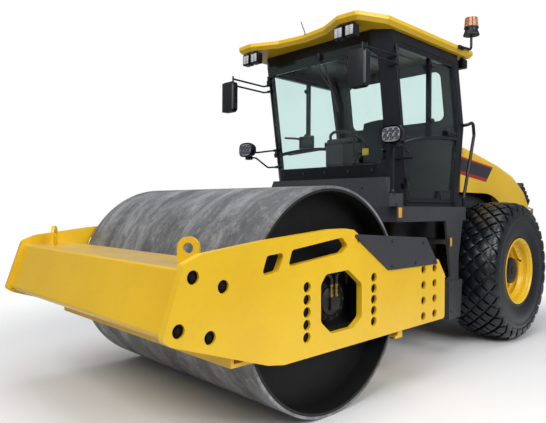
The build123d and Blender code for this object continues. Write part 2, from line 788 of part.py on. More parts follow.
back_low = 90
back_high = 590
back_half = 600
with BuildPart() as cab_frame:
    with BuildSketch(side(-cab_half)):
        outline(cab_outline)
    extrude(amount=2 * cab_half)
    add(cab_column(0, deck_top - 20), mode=Mode.INTERSECT)
    with BuildPart(mode=Mode.PRIVATE) as cab_space:
        with BuildSketch(side(-cab_half + cab_wall)):
            outline(cab_inner)
        extrude(amount=2 * (cab_half - cab_wall))
        add(cab_column(cab_wall, deck_top - 20), mode=Mode.INTERSECT)
    add(cab_space.part, mode=Mode.SUBTRACT)
    with BuildSketch(side(-cab_half - 10)):
        outline(doorway, 40)
    extrude(amount=2 * cab_half + 20, mode=Mode.SUBTRACT)
    extrude(window(screen_plane, screen_low, screen_high, screen_half), amount=170, both=True, mode=Mode.SUBTRACT)
    extrude(window(back_plane, back_low, back_high, back_half), amount=120, both=True, mode=Mode.SUBTRACT)
    for height in hinge_heights:
        with BuildPart(mode=Mode.PRIVATE) as knuckle:
            with BuildSketch(on_hinge(height - seat_gap)):
                Circle(hinge_radius)
                with Locations((-20, -16)):
                    Rectangle(40, 32)
            extrude(amount=-hinge_length / 2)
        add(knuckle.part)
        mirror(knuckle.part, about=Plane.YZ)
    for height in (*lamp_arm_heights, *mirror_arm_heights):
        for end in (-1, 1):
            with BuildSketch(side(end * cab_half, cab_front_y(height) + boss_set, height)):
                Circle(boss_radius)
            extrude(amount=-end * 65)

# Fixed glass: windscreen and rear window, each inside the frame's edge
back_glass = Plane(back_plane.origin + back_plane.z_dir * 20, x_dir=(1, 0, 0), z_dir=back_plane.z_dir)
with BuildPart() as cab_glass:
    add(cab_column(screen_depth, deck_top - 20))
    add(cab_column(screen_depth + glass_thickness, deck_top - 20), mode=Mode.SUBTRACT)
    screen_face = window(screen_plane, screen_low, screen_high, screen_half, seat_gap)
    extrude(screen_face, amount=170, both=True, mode=Mode.INTERSECT)
    extrude(window(back_glass, back_low, back_high, back_half, seat_gap), amount=glass_thickness)

# Doors: a framed leaf with a curved middle rail and an upright bar
with BuildSketch() as leaf_face:
    outline(doorway, 40)
    offset(amount=-door_gap, mode=Mode.REPLACE)
with BuildSketch() as pane_faces:
    add(leaf_face.sketch)
    offset(amount=-door_frame, mode=Mode.REPLACE)
    with BuildLine():
        low_rail = ThreePointArc((1150, 1880), (1645, 2000), (2420, 2050))
        high_rail = ThreePointArc((1150, 1880 + rail_width), (1645, 2000 + rail_width), (2420, 2050 + rail_width))
        Line(low_rail @ 0, high_rail @ 0)
        Line(low_rail @ 1, high_rail @ 1)
    make_face(mode=Mode.SUBTRACT)
    with Locations((1740, 2450)):
        Rectangle(rail_width, 860, mode=Mode.SUBTRACT)
    outline([(1835, 1400), (1905, 1545), (2150, 1560), (2260, 1400)], 0, Mode.SUBTRACT)
with BuildPart() as door_left:
    with BuildSketch(side(cab_half - door_thickness)):
        add(leaf_face.sketch)
        add(pane_faces.sketch, mode=Mode.SUBTRACT)
    extrude(amount=door_thickness)
    for height in hinge_heights:
        with BuildSketch(on_hinge(height)):
            Circle(hinge_radius)
            with Locations((-8, 20)):
                Rectangle(16, 40)
        extrude(amount=hinge_length / 2)
door_right = opposite(door_left)
with BuildPart() as door_glass_left:
    with BuildSketch(side(cab_half - door_thickness / 2 - glass_thickness / 2)):
        add(pane_faces.sketch)
        offset(amount=-seat_gap, mode=Mode.REPLACE)
    extrude(amount=glass_thickness)
door_glass_right = opposite(door_glass_left)

# Roof: slab with two lamp horns, under a crowned top
roof_outline = [
    (0, 835), (280, 795), (545, 668), (735, 680), (roof_half, 960), (roof_half, 2460), (0, 2495),
    (-roof_half, 2460), (-roof_half, 960), (-735, 680), (-545, 668), (-280, 795),
]
crown_outline = [(-760, 1010), (760, 1010), (760, 2350), (-760, 2350)]
with BuildPart() as roof:
    with BuildSketch(level(roof_low)):
        outline(roof_outline, 40)
    extrude(amount=roof_edge)
    chamfer(roof.faces().sort_by(Axis.Z)[0].edges(), length=roof_bevel)
    with BuildSketch(level(roof_low + roof_edge)):
        outline(crown_outline, 90)
    extrude(amount=roof_crown, taper=40)

# Roof lamps under the horns
with BuildPart() as roof_lamps:
    for x in [-lamp_xs[1], -lamp_xs[0], lamp_xs[0], lamp_xs[1]]:
        with BuildSketch(across(lamp_y - lamp_depth / 2, roof_low - 18 - lamp_height / 2, x)):
            RectangleRounded(lamp_width, lamp_height, 12)
        extrude(amount=-lamp_depth)
        with BuildSketch(level(roof_low - 20, lamp_y, x)):
            Circle(14)
        extrude(amount=20)

# Work lamps on tube brackets beside the windscreen


def tube(points, radius, bend):
    """A bent round tube through points given in x, y from the drum's axis, and z."""
    places = [Vector(x, drum_y + y, z) for x, y, z in points]
    with BuildPart() as pipe:
        with BuildLine() as path:
            if len(places) > 2:
                FilletPolyline(*places, radius=bend)
            else:
                Line(*places)
        with BuildSketch(Plane(origin=path.line @ 0, z_dir=path.line % 0)):
            Circle(radius)
        sweep(path=path.line)
    return pipe.part


lamp_back = 1000
with BuildPart() as work_lamp_left:
    with BuildSketch(across(lamp_back, 1978, 900)):
        RectangleRounded(160, 116, 50)
    extrude(amount=70)
    with BuildSketch(across(lamp_back, 1903, 905)):
        Rectangle(60, 50)
    extrude(amount=50)
    for height, reach, top in zip(lamp_arm_heights, (905, 880), (1903, 1960)):
        root = cab_front_y(height) + boss_set
        add(tube([
            (cab_half + seat_gap, root, height), (reach, root, height), (reach, 1075, top),
            (reach, lamp_back - 10, top),
        ], 9, 25))
work_lamps = on_both_sides(work_lamp_left)

# Mirrors on two-tube arms
with BuildPart() as mirror_left:
    with BuildSketch(across(mirror_y - 25, mirror_z, mirror_x + 20)):
        RectangleRounded(180, 300, 40)
    extrude(amount=-50)
    for height in mirror_arm_heights:
        root = cab_front_y(height) + boss_set
        add(tube([
            (cab_half + seat_gap, root, height), (835, root, height), (mirror_x + 20, mirror_y + 40, height),
        ], mirror_tube, 22))
    add(tube([(mirror_x + 20, mirror_y + 40, 2690), (mirror_x + 20, mirror_y + 40, 2400)], mirror_tube, 0))
    with BuildSketch(across(mirror_y + 20, mirror_z, mirror_x + 20)):
        Circle(20)
    extrude(amount=-30)
mirrors = on_both_sides(mirror_left)

# Beacon on a bent pole beside the roof, and the antenna on the roof's front
with BuildPart() as roof_poles:
    with BuildSketch(side(roof_half + seat_gap, 2160, roof_low + (roof_edge + roof_bevel) / 2)):
        Rectangle(90, roof_edge - roof_bevel)
    extrude(amount=24)
    add(tube([
        (beacon_x, 2150, roof_low + (roof_edge + roof_bevel) / 2), (beacon_x, beacon_y, roof_low + roof_edge),
        (beacon_x, beacon_y, beacon_foot + 5),
    ], 12, 40))
    with BuildSketch(level(beacon_foot, beacon_y, beacon_x)):
        Circle(78)
    extrude(amount=(beacon_base - beacon_foot) / 2, taper=18)
    with BuildSketch(level(beacon_foot + 30, beacon_y, beacon_x)):
        Circle(62)
    extrude(amount=beacon_base - beacon_foot - 30)
    with BuildSketch(level(roof_low + roof_edge, 890, -20)):
        Circle(14)
    extrude(amount=26)
    add(tube([(-20, 890, roof_low + roof_edge + 20), (-70, 880, 3110)], 4, 0))
with BuildPart() as beacon_lens:
    with BuildSketch(level(beacon_base, beacon_y, beacon_x)):
        Circle(66)
    extrude(amount=beacon_top - beacon_base, taper=4)

# Handrails behind the doors
with BuildPart() as handrail_left:
    add(tube([
        (cab_half + seat_gap, 2350, 2215), (840, 2350, 2215), (840, 2467, 2257), (840, 2490, 2128),
        (840, 2406, 1868), (840, 2275, 1480), (840, 2275, deck_top + seat_gap),
    ], rail_radius, 38))
handrails = on_both_sides(handrail_left)

# Seat, and the console with its steering wheel
with BuildPart() as seat:
    with BuildSketch(level(deck_top, 1830)):
        Rectangle(420, 420)
    extrude(amount=300, taper=6)
    with BuildSketch(level(deck_top + 300, 1810)):
        RectangleRounded(500, 480, 60)
    extrude(amount=140)
    with BuildSketch(across(2030, deck_top + 400 + 260)):
        RectangleRounded(480, 560, 70)
    extrude(amount=-110)
with BuildPart() as console:
    with BuildSketch(side(-110)):
        outline([
            (1300, deck_top), (1420, deck_top), (1440, deck_top + 420), (1500, deck_top + 520),
            (1440, deck_top + 640), (1290, deck_top + 600),
        ], 20)
    extrude(amount=220)
    column = Plane(origin=(0, drum_y + 1500, deck_top + 640), x_dir=(1, 0, 0), z_dir=(0, 0.5, 0.87))
    with BuildSketch(Plane(origin=column.origin, x_dir=(1, 0, 0), z_dir=column.y_dir)):
        with Locations((185, 0)):
            Circle(14)
    revolve(axis=Axis(column.origin, column.z_dir))
    with BuildSketch(column):
        Rectangle(350, 34)
        Circle(45)
    extrude(amount=8, both=True)
    with BuildSketch(column):
        Circle(24)
    extrude(amount=-130)

# Engine and radiator under the hood
with BuildPart() as engine:
    with BuildSketch(across(2700, pad_top + rail_height + 330)):
        outline([(-240, -330), (240, -330), (300, -60), (270, 300), (-270, 300), (-300, -60)], 20)
    extrude(amount=-980)
    with BuildSketch(across(3860, 1260)):
        Rectangle(740, 600)
    extrude(amount=-90)
    with BuildSketch(across(3860, 940)):
        Rectangle(2 * inside, 60)
    extrude(amount=-90)

# Side panels of the engine bay, under the hood's edge
with BuildPart() as bay_panel_left:
    with BuildSketch(side(545)):
        with BuildLine():
            top = CenterArc((wheelbase, wheel_radius), arch_radius - 20, arch_start + 2, 88 - arch_start)
            low = (top @ 0).Y - 60
            Polyline(top @ 1, (hood_front, hood_edge_z - 20), (hood_front, low), ((top @ 0).X, low), top @ 0)
        make_face()
    extrude(amount=24)
    with BuildSketch(side(chassis_half)):
        with Locations((2600, 1230), (3500, 1060)):
            Rectangle(120, 40)
    extrude(amount=545 - chassis_half)
bay_panels = on_both_sides(bay_panel_left)

# Hood: a one-piece shell over the engine
hood_profile = [
    (hood_front, hood_edge_z), (hood_front, 2050), (2700, 2015), (2886, 1983), (3407, 1889), (3800, 1788),
    (3995, 1690), hood_back_top, hood_back_low,
]
with BuildPart() as hood:
    with BuildSketch(side(-hood_half)):
        with BuildLine():
            arch = CenterArc((wheelbase, wheel_radius), arch_radius, arch_start, 90 - arch_start)
            Polyline(arch @ 1, *hood_profile, arch @ 0)
        make_face()
    extrude(amount=2 * hood_half)
    top_edges = [e for e in hood.edges().filter_by(lambda e: abs(e.center().X) > hood_half - 1)
                 if e.center().Z > 1560 and abs(e.tangent_at(0.5).Z) < 0.95]
    fillet(top_edges, radius=85)
    openings = hood.faces().filter_by(lambda f: f.normal_at(f.center()).Z < -0.2 or f.normal_at(f.center()).Y < -0.98)
    offset(amount=-hood_wall, openings=openings)
    for ear in (-chassis_half - 5 - hood_ear_thickness, chassis_half + 5):
        with BuildSketch(side(ear, hood_hinge_y, hood_hinge_z)):
            Circle(2 * hood_pin_radius)
            with Locations((0, 32)):
                Rectangle(4 * hood_pin_radius, 64)
            Circle(hood_pin_radius + running_gap, mode=Mode.SUBTRACT)
        extrude(amount=hood_ear_thickness)

# Rear grille over the hood's back, wider above the lamps
grille_half = 590
grille_wide = 660
grille_split = 1425
grille_inner = [(4022.0, 1658.2), (hood_back_top[0] + 0.3, hood_back_top[1] + 0.2)]
grille_outer = [(hood_back_top[0] + 85, hood_back_top[1] + 12), (4042, 1680)]
with BuildPart() as rear_grille:
    with BuildSketch(side(-grille_half)):
        outline([
            *grille_inner, (hood_back_low[0] - 4.5, hood_back_low[1] + 25),
            (hood_back_low[0] + 60, hood_back_low[1] + 35), *grille_outer,
        ])
    extrude(amount=2 * grille_half)
    with BuildSketch(side(-grille_wide)):
        outline([*grille_inner, *grille_outer])
        with Locations((4200, grille_split - 200)):
            Rectangle(600, 400, mode=Mode.SUBTRACT)
    extrude(amount=2 * grille_wide)
    rise = Vector(grille_outer[1]) - Vector(grille_outer[0])
    with BuildSketch(side(-grille_wide)):
        for share in (0.24, 0.40, 0.56, 0.72, 0.88):
            place = Vector(grille_outer[0]) + rise * share
            with Locations(Location((place.X, place.Y, 0), (0, 0, math.degrees(math.atan2(rise.Y, rise.X))))):
                Rectangle(26, 44)
    extrude(amount=2 * grille_wide)

# Rear lamps on the hood's corners
back_drop = Vector(0, hood_back_top[0] - hood_back_low[0], hood_back_top[1] - hood_back_low[1]).normalized()
back_out = Vector(-1, 0, 0).cross(back_drop)
hood_back_plane = Plane(
    origin=Vector(0, drum_y + hood_back_top[0], hood_back_top[1]) + back_out * seat_gap,
    x_dir=(-1, 0, 0), z_dir=back_out,
)
with BuildPart() as tail_lamp_left:
    with BuildSketch(hood_back_plane):
        with Locations((grille_half + 62, -48)):
            RectangleRounded(94, 90, 15)
    extrude(amount=95)
tail_lamps = on_both_sides(tail_lamp_left)

pieces = {
    "drum_shell": drum_shell,
    "drum_heads": drum_heads,
    "side_plate_left": side_plate_left,
    "side_plate_right": side_plate_right,
    "covers": covers,
    "front_beam": front_beam,
    "rear_beam": rear_beam,
    "scrapers": scrapers,
    "drum_carriers": carriers,
    "centre_link": centre_link,
    "steer_barrel_left": steer_barrel_left,
    "steer_rod_left": steer_rod_left,
    "steer_barrel_right": steer_barrel_right,
    "steer_rod_right": steer_rod_right,
    "chassis_sides": chassis_sides,
    "chassis_yoke": chassis_yoke,
    "chassis_walls": chassis_walls,
    "rear_bumper": rear_bumper,
    "rear_axle": rear_axle,
    "tyre_left": tyre_left,
    "rim_left": rim_left,
    "tyre_right": tyre_right,
    "rim_right": rim_right,
    "platform": platform,
    "steps": steps,
    "cab_frame": cab_frame,
    "cab_glass": cab_glass,
    "door_left": door_left,
    "door_glass_left": door_glass_left,
    "door_right": door_right,
    "door_glass_right": door_glass_right,
    "roof": roof,
    "roof_lamps": roof_lamps,
    "work_lamps": work_lamps,
    "mirrors": mirrors,
    "roof_poles": roof_poles,
    "beacon_lens": beacon_lens,
    "handrails": handrails,
    "seat": seat,
    "console": console,
    "engine": engine,
    "bay_panels": bay_panels,
    "hood": hood,
    "rear_grille": rear_grille,
    "tail_lamps": tail_lamps,
}
os.makedirs("parts", exist_ok=True)
for name, piece in pieces.items():
    piece.part.label = name
    export_step(piece.part, f"parts/{name}.step")
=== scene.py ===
import bpy
import bmesh
import math
from mathutils import Matrix, Vector


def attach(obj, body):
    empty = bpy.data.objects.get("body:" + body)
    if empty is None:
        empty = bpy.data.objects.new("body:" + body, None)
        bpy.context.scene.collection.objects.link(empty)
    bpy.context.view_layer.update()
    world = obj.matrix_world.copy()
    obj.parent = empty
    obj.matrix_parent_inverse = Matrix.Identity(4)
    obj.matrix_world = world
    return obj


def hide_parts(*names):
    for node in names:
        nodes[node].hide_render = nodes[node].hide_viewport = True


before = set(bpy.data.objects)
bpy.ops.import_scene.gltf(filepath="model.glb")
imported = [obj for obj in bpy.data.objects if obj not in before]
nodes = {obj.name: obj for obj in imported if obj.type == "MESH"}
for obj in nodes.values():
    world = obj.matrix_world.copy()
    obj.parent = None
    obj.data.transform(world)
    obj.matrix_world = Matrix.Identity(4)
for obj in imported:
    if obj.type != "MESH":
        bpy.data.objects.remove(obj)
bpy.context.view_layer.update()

# Where the machine's main axes are, in metres
DRUM_Y = -1.575
DRUM_Z = 0.765
WHEELBASE = 3.0
WHEEL_R = 0.725
WHEEL_X = 0.864
DRUM_R = 0.765
DRUM_INNER = 0.747
SIDES = (("left", 1), ("right", -1))


def at(x, y, z):
    """A point with y measured from the drum's axis."""
    return Vector((x, DRUM_Y + y, z))


def round_x(centre, x, radius, angle):
    """A point at a radius and an angle about an axis along X."""
    return centre + Vector((x, radius * math.cos(angle), radius * math.sin(angle)))


# Materials


class Tree:
    """A node tree under construction."""

    def __init__(self, tree):
        self.tree = tree

    def link(self, a, b):
        self.tree.links.new(a, b)

    def feed(self, socket, value):
        """Links another node's socket, or sets a plain value."""
        if isinstance(value, bpy.types.NodeSocket):
            self.link(value, socket)
        elif socket.type == "RGBA":
            socket.default_value = (*value, 1)
        else:
            socket.default_value = value

    def node(self, kind, **inputs):
        """A new node. Names that start with an underscore are its settings, the others its inputs."""
        n = self.tree.nodes.new(kind)
        for key, value in inputs.items():
            if key.startswith("_"):
                setattr(n, key[1:], value)
            else:
                self.feed(n.inputs[key.replace("__", " ")], value)
        return n

    def fill(self, n, places, values):
        """Feeds a node's inputs by place, and gives its first output."""
        for place, value in zip(places, values):
            self.feed(n.inputs[place], value)
        return n.outputs[0]

    def math(self, op, *values):
        return self.fill(self.node("ShaderNodeMath", _operation=op), range(3), values)

    def mix_shader(self, fac, a, b):
        return self.fill(self.node("ShaderNodeMixShader"), range(3), (fac, a, b))


class Mat(Tree):
    """A node material under construction."""

    def __init__(self, name):
        self.mat = bpy.data.materials.new(name)
        self.mat.use_nodes = True
        super().__init__(self.mat.node_tree)
        self.bsdf = self.tree.nodes["Principled BSDF"]
        self.coord = self.tree.nodes.new("ShaderNodeTexCoord").outputs["Object"]

    def noise(self, scale, detail=4, rough=0.55, vector=None, distortion=0.0):
        n = self.node("ShaderNodeTexNoise", Scale=scale, Detail=detail, Roughness=rough)
        self.feed(n.inputs["Distortion"], distortion)
        self.feed(n.inputs["Vector"], vector or self.coord)
        return n.outputs["Fac"]

    def ramp(self, fac, *stops):
        n = self.node("ShaderNodeValToRGB", Fac=fac)
        ramp = n.color_ramp
        while len(ramp.elements) < len(stops):
            ramp.elements.new(0.5)
        for e, (pos, col) in zip(ramp.elements, stops):
            e.position = pos
            e.color = (*col, 1) if hasattr(col, "__len__") else (col, col, col, 1)
        return n.outputs["Color"]

    def mix(self, fac, a, b):
        n = self.node("ShaderNodeMix", _data_type="RGBA")
        self.fill(n, (0, 6, 7), (fac, a, b))
        return n.outputs[2]

    def bump(self, height, strength, distance):
        n = self.node("ShaderNodeBump", Height=height, Strength=strength, Distance=distance)
        self.link(n.outputs["Normal"], self.bsdf.inputs["Normal"])

    def set(self, **values):
        """Feeds the surface's inputs."""
        for key, value in values.items():
            self.feed(self.bsdf.inputs[key.replace("__", " ")], value)


def shade(color, share):
    """A colour made darker or lighter."""
    return tuple(share * c for c in color)


def cloudy(m, color, dark):
    """Two close shades of a colour in soft patches."""
    return m.mix(m.ramp(m.noise(1.6, 3), (0.35, 0.0), (0.7, 1.0)), color, dark)


def paint_coat(m, base, fine, rough, coat, shine):
    """The gloss and the orange peel of sprayed paint over a base colour."""
    m.set(Base__Color=base, Roughness=m.math("MULTIPLY_ADD", fine, 0.16, rough - 0.08))
    m.set(Coat__Weight=coat, Coat__Roughness=0.14, Specular__IOR__Level=shine)
    m.bump(m.noise(190, 2), 0.10, 0.0006)


def paint(name, color, dark, rough=0.32, coat=0.35, dust=0.12, shine=0.45, top=0.0):
    """Sprayed paint: slight cloudiness, fine orange peel, a little dust, and more of it on top."""
    m = Mat(name)
    base = cloudy(m, color, dark)
    fine = m.noise(26, 5, 0.6)
    dirt = m.ramp(fine, (0.52, 0.0), (0.75, dust))
    base = m.mix(dirt, base, tuple(0.5 * c + 0.10 for c in dark))
    if top:
        normal = m.tree.nodes["Texture Coordinate"].outputs["Normal"]
        up = m.node("ShaderNodeSeparateXYZ", Vector=normal).outputs["Z"]
        patch = m.ramp(m.noise(2.4, 5, 0.6), (0.30, 0.35), (0.62, 1.0))
        layer = m.math("MULTIPLY", m.ramp(up, (0.80, 0.0), (0.95, top)), patch)
        base = m.mix(layer, base, DUST_COLOR)
    paint_coat(m, base, fine, rough, coat, shine)
    return m.mat


DUST_COLOR = (0.40, 0.31, 0.17)
YELLOW_COLOR = (0.82, 0.515, 0.014)
YELLOW_SHADE = (0.75, 0.455, 0.012)

YELLOW = paint("paint_yellow", YELLOW_COLOR, YELLOW_SHADE, coat=0.2, shine=0.35)
# The beams' yellow is a darker, more orange copy of the plates' yellow: painted shade on the beam faces. The
# dust on upward faces is real dust.
SHADED_DUSTY_YELLOW = paint("paint_yellow_shaded_dusty", (0.80, 0.485, 0.013), (0.73, 0.43, 0.011), coat=0.15, shine=0.3, top=0.7)
DARK = paint("paint_dark_grey", (0.042, 0.043, 0.048), (0.034, 0.035, 0.039), 0.45, 0.08, 0.15, 0.35)
BLACK = paint("paint_black", (0.0050, 0.0060, 0.0100), (0.0038, 0.0046, 0.0075), 0.36, 0.08, 0.03, 0.32)


def drum_coordinates(m):
    """Distance along the drum and round it as one vector, and the distance from its axis."""
    split = m.node("ShaderNodeSeparateXYZ", Vector=m.coord)
    y = m.math("SUBTRACT", split.outputs["Y"], DRUM_Y)
    z = m.math("SUBTRACT", split.outputs["Z"], DRUM_Z)
    turn = m.math("MULTIPLY", m.math("ARCTAN2", y, z), DRUM_R)
    combine = m.node("ShaderNodeCombineXYZ", X=split.outputs["X"], Y=turn)
    radius = m.math("SQRT", m.math("ADD", m.math("MULTIPLY", y, y), m.math("MULTIPLY", z, z)))
    return combine.outputs["Vector"], radius


def drum_steel():
    """Rolled steel worn by the ground: grey bands and streaks, scuffs, soil, and a dark inside."""
    m = Mat("drum_steel")
    around, radius = drum_coordinates(m)

    def stretched(x, y):
        return m.node("ShaderNodeMapping", Vector=around, Scale=(x, y, 1.0)).outputs["Vector"]

    streak = m.noise(1.0, 9, 0.68, stretched(5.5, 2.1), 0.9)
    band = m.noise(1.0, 4, 0.55, stretched(3.4, 0.45), 0.6)
    scuff = m.noise(1.0, 8, 0.7, stretched(20.0, 13.0), 0.8)
    fine = m.noise(62, 5, 0.68, around)
    base = m.ramp(
        streak, (0.32, (0.085, 0.087, 0.093)), (0.47, (0.19, 0.193, 0.20)), (0.64, (0.37, 0.375, 0.385)),
    )
    base = m.mix(m.ramp(band, (0.46, 0.0), (0.62, 0.72)), base, (0.080, 0.082, 0.088))
    base = m.mix(m.ramp(scuff, (0.50, 0.0), (0.72, 0.65)), base, (0.40, 0.405, 0.41))
    base = m.mix(m.ramp(fine, (0.48, 0.0), (0.72, 0.5)), base, (0.06, 0.058, 0.056))
    patch = m.ramp(m.noise(3.2, 6, 0.65, around), (0.56, 0.0), (0.72, 0.6))
    soil = m.math("MULTIPLY", patch, m.ramp(fine, (0.4, 0.3), (0.6, 1.0)))
    base = m.mix(soil, base, (0.105, 0.080, 0.052))
    base = m.mix(m.math("LESS_THAN", radius, DRUM_INNER), base, (0.012, 0.0122, 0.013))
    m.set(Base__Color=base, Metallic=0.3, Roughness=m.math("MULTIPLY_ADD", streak, -0.2, 0.66))
    height = m.math("ADD", m.math("MULTIPLY", streak, 0.6), m.math("MULTIPLY", fine, 0.4))
    m.bump(height, 0.4, 0.003)
    return m.mat


def rubber(name, color, rough):
    """Tyre rubber: near black with a faint bloom, and fine moulding grain."""
    m = Mat(name)
    bloom = m.noise(5, 5, 0.6)
    base = m.mix(m.ramp(bloom, (0.4, 0.0), (0.75, 0.5)), color, shade(color, 1.9))
    m.set(Base__Color=base, Roughness=m.math("MULTIPLY_ADD", bloom, -0.25, rough + 0.1))
    m.set(Specular__IOR__Level=0.5)
    m.bump(m.noise(120, 3), 0.25, 0.001)
    return m.mat


def plastic(name, color):
    """Moulded plastic with a fine texture."""
    m = Mat(name)
    grain = m.noise(300, 2)
    base = m.mix(m.ramp(m.noise(8, 3), (0.4, 0.0), (0.7, 0.6)), color, shade(color, 0.8))
    m.set(Base__Color=base, Roughness=m.math("MULTIPLY_ADD", grain, 0.12, 0.39))
    m.bump(grain, 0.2, 0.0005)
    return m.mat


def metal(name, color, rough, scale=60):
    """Bare or plated metal with faint directional marks."""
    m = Mat(name)
    marks = m.node("ShaderNodeMapping", Vector=m.coord, Scale=(1.0, 1.0, 6.0))
    n = m.noise(scale, 4, 0.6, marks.outputs["Vector"])
    m.set(Base__Color=m.mix(m.ramp(n, (0.3, 0.0), (0.8, 1.0)), color, shade(color, 0.7)))
    m.set(Metallic=1.0, Roughness=m.math("MULTIPLY_ADD", n, 0.2, rough - 0.1))
    m.bump(n, 0.08, 0.0004)
    return m.mat


def glass(name, tint):
    """Tinted safety glass in thin panes: light passes straight through, tinted, under a gloss."""
    m = Mat(name)
    m.set(Base__Color=m.mix(m.ramp(m.noise(0.7, 2), (0.3, 0.0), (0.9, 0.3)), tint, shade(tint, 0.93)))
    m.set(Roughness=0.0, Transmission__Weight=1.0, IOR=1.0, Coat__Weight=0.3, Coat__Roughness=0.01)
    return m.mat


def lens(name, color, painted_glow=0.0):
    """Moulded lamp lens with small prisms. Any glow given is painted light: the lens gives off light of its
    own colour.
    """
    m = Mat(name)
    cells = m.node("ShaderNodeTexVoronoi", Vector=m.coord, Scale=90.0).outputs["Distance"]
    base = m.mix(m.ramp(cells, (0.1, 0.0), (0.6, 1.0)), color, shade(color, 0.6))
    m.set(Base__Color=base, Roughness=0.12, Coat__Weight=0.6)
    # Painted glow: emission in the lens colour, light painted on.
    if painted_glow:
        m.set(Emission__Color=color, Emission__Strength=painted_glow)
    m.bump(cells, 0.4, 0.001)
    return m.mat


STEEL_DRUM = drum_steel()
RUBBER = rubber("tyre_rubber", (0.0036, 0.0044, 0.0072), 0.36)
HOSE = rubber("hose_rubber", (0.010, 0.010, 0.011), 0.45)
SEAL = rubber("window_seal", (0.008, 0.008, 0.009), 0.5)
PLASTIC = plastic("black_plastic", (0.0070, 0.0076, 0.0095))
GREY_PLASTIC = plastic("grey_plastic", (0.10, 0.105, 0.11))
BOLT = metal("dark_bolts", (0.10, 0.10, 0.11), 0.45)
ZINC = metal("zinc_plate", (0.62, 0.62, 0.60), 0.35)
CHROME = metal("chrome", (0.85, 0.86, 0.88), 0.12)
MIRROR = metal("mirror_face", (0.75, 0.78, 0.80), 0.12, 8)
GLASS = glass("cab_glass", (0.79, 0.905, 0.885))
HEADER = lens("header_glass", (0.010, 0.022, 0.018))
# Near-black painted shade: the drum carriers deep in the drum's end and the plugs in the side plates' holes,
# where shade falls.
PAINTED_SHADE_BLACK = paint("painted_shade_black", (0.0040, 0.0040, 0.0045), (0.003, 0.003, 0.0033), 0.6, 0.0, 0.02, 0.15)
HEAD = paint("drum_inside", (0.0100, 0.0102, 0.0110), (0.007, 0.0072, 0.008), 0.55, 0.0, 0.05, 0.2)
# Cast iron's own dark colour, made near black as painted shade for the motors deep in the drum's end.
CAST_IRON_SHADED = paint("cast_iron_shaded", (0.014, 0.014, 0.016), (0.010, 0.010, 0.011), 0.5, 0.0, 0.08, 0.3)
BRASS = metal("brass", (0.60, 0.38, 0.10), 0.3)
REFLECT = metal("lamp_reflector", (0.82, 0.83, 0.85), 0.22, 30)
CELL = lens("lamp_cell", (0.05, 0.06, 0.09))
LAMP_LENS = lens("lamp_lens", (0.75, 0.77, 0.80))
AMBER = lens("amber_lens", (0.48, 0.15, 0.004))
RED_LENS = lens("red_lens", (0.45, 0.02, 0.02))
# The side reflectors get a painted glow: they give off light though they are no lamp.
REFLECTOR = lens("side_reflector", (0.85, 0.45, 0.04), 0.1)


def banded_yellow():
    """Hood paint: yellow, with the dark and red band along each side."""
    m = Mat("paint_hood")
    base = cloudy(m, YELLOW_COLOR, YELLOW_SHADE)
    split = m.node("ShaderNodeSeparateXYZ", Vector=m.coord)
    y, z = split.outputs["Y"], split.outputs["Z"]
    lean = m.math("MULTIPLY_ADD", m.math("SUBTRACT", y, DRUM_Y + 2.4), 0.10, z)
    side = m.math("GREATER_THAN", m.math("ABSOLUTE", split.outputs["X"]), 0.66)
    tail = m.math("MULTIPLY_ADD", lean, 0.9, DRUM_Y + 3.10 - 0.9 * 1.80)
    inside = m.math("MULTIPLY", side, m.math("LESS_THAN", y, tail))

    def stripe(low, high):
        """One between two heights of the leaning band, and nought elsewhere."""
        above = m.math("GREATER_THAN", lean, low)
        return m.math("MULTIPLY", inside, m.math("MULTIPLY", above, m.math("LESS_THAN", lean, high)))

    base = m.mix(stripe(1.775, 1.905), base, (0.018, 0.016, 0.019))
    red = m.math("MAXIMUM", stripe(1.735, 1.775), stripe(1.905, 1.925))
    base = m.mix(red, base, (0.34, 0.008, 0.014))
    paint_coat(m, base, m.noise(26, 5, 0.6), 0.32, 0.2, 0.35)
    return m.mat


HOOD_PAINT = banded_yellow()


def fabric(name, color):
    """Woven seat cloth."""
    m = Mat(name)
    weave = m.node("ShaderNodeTexWave", Vector=m.coord, Scale=110.0, Distortion=1.5)
    weave2 = m.node("ShaderNodeTexWave", Vector=m.coord, Scale=110.0, Distortion=1.5, _bands_direction="Z")
    both = m.math("MULTIPLY", weave.outputs["Fac"], weave2.outputs["Fac"])
    m.set(Base__Color=m.mix(both, color, shade(color, 2.0)), Roughness=0.85, Sheen__Weight=0.08)
    m.bump(both, 0.4, 0.001)
    return m.mat


SEAT_CLOTH = fabric("seat_cloth", (0.010, 0.011, 0.014))

# Mesh helpers


def finish_object(name, bm, material, body, replaced=(), sharp=32):
    """Turns a bmesh into a piece that rides on a body."""
    bmesh.ops.remove_doubles(bm, verts=bm.verts, dist=1e-6)
    bmesh.ops.recalc_face_normals(bm, faces=bm.faces)
    mesh = bpy.data.meshes.new(name)
    bm.to_mesh(mesh)
    bm.free()
    mesh.polygons.foreach_set("use_smooth", [True] * len(mesh.polygons))
    mesh.set_sharp_from_angle(angle=math.radians(sharp))
    obj = bpy.data.objects.new(name, mesh)
    bpy.context.collection.objects.link(obj)
    for mat in material if isinstance(material, (list, tuple)) else [material]:
        mesh.materials.append(mat)
    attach(obj, body)
    if replaced:
        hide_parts(*replaced)
    return obj


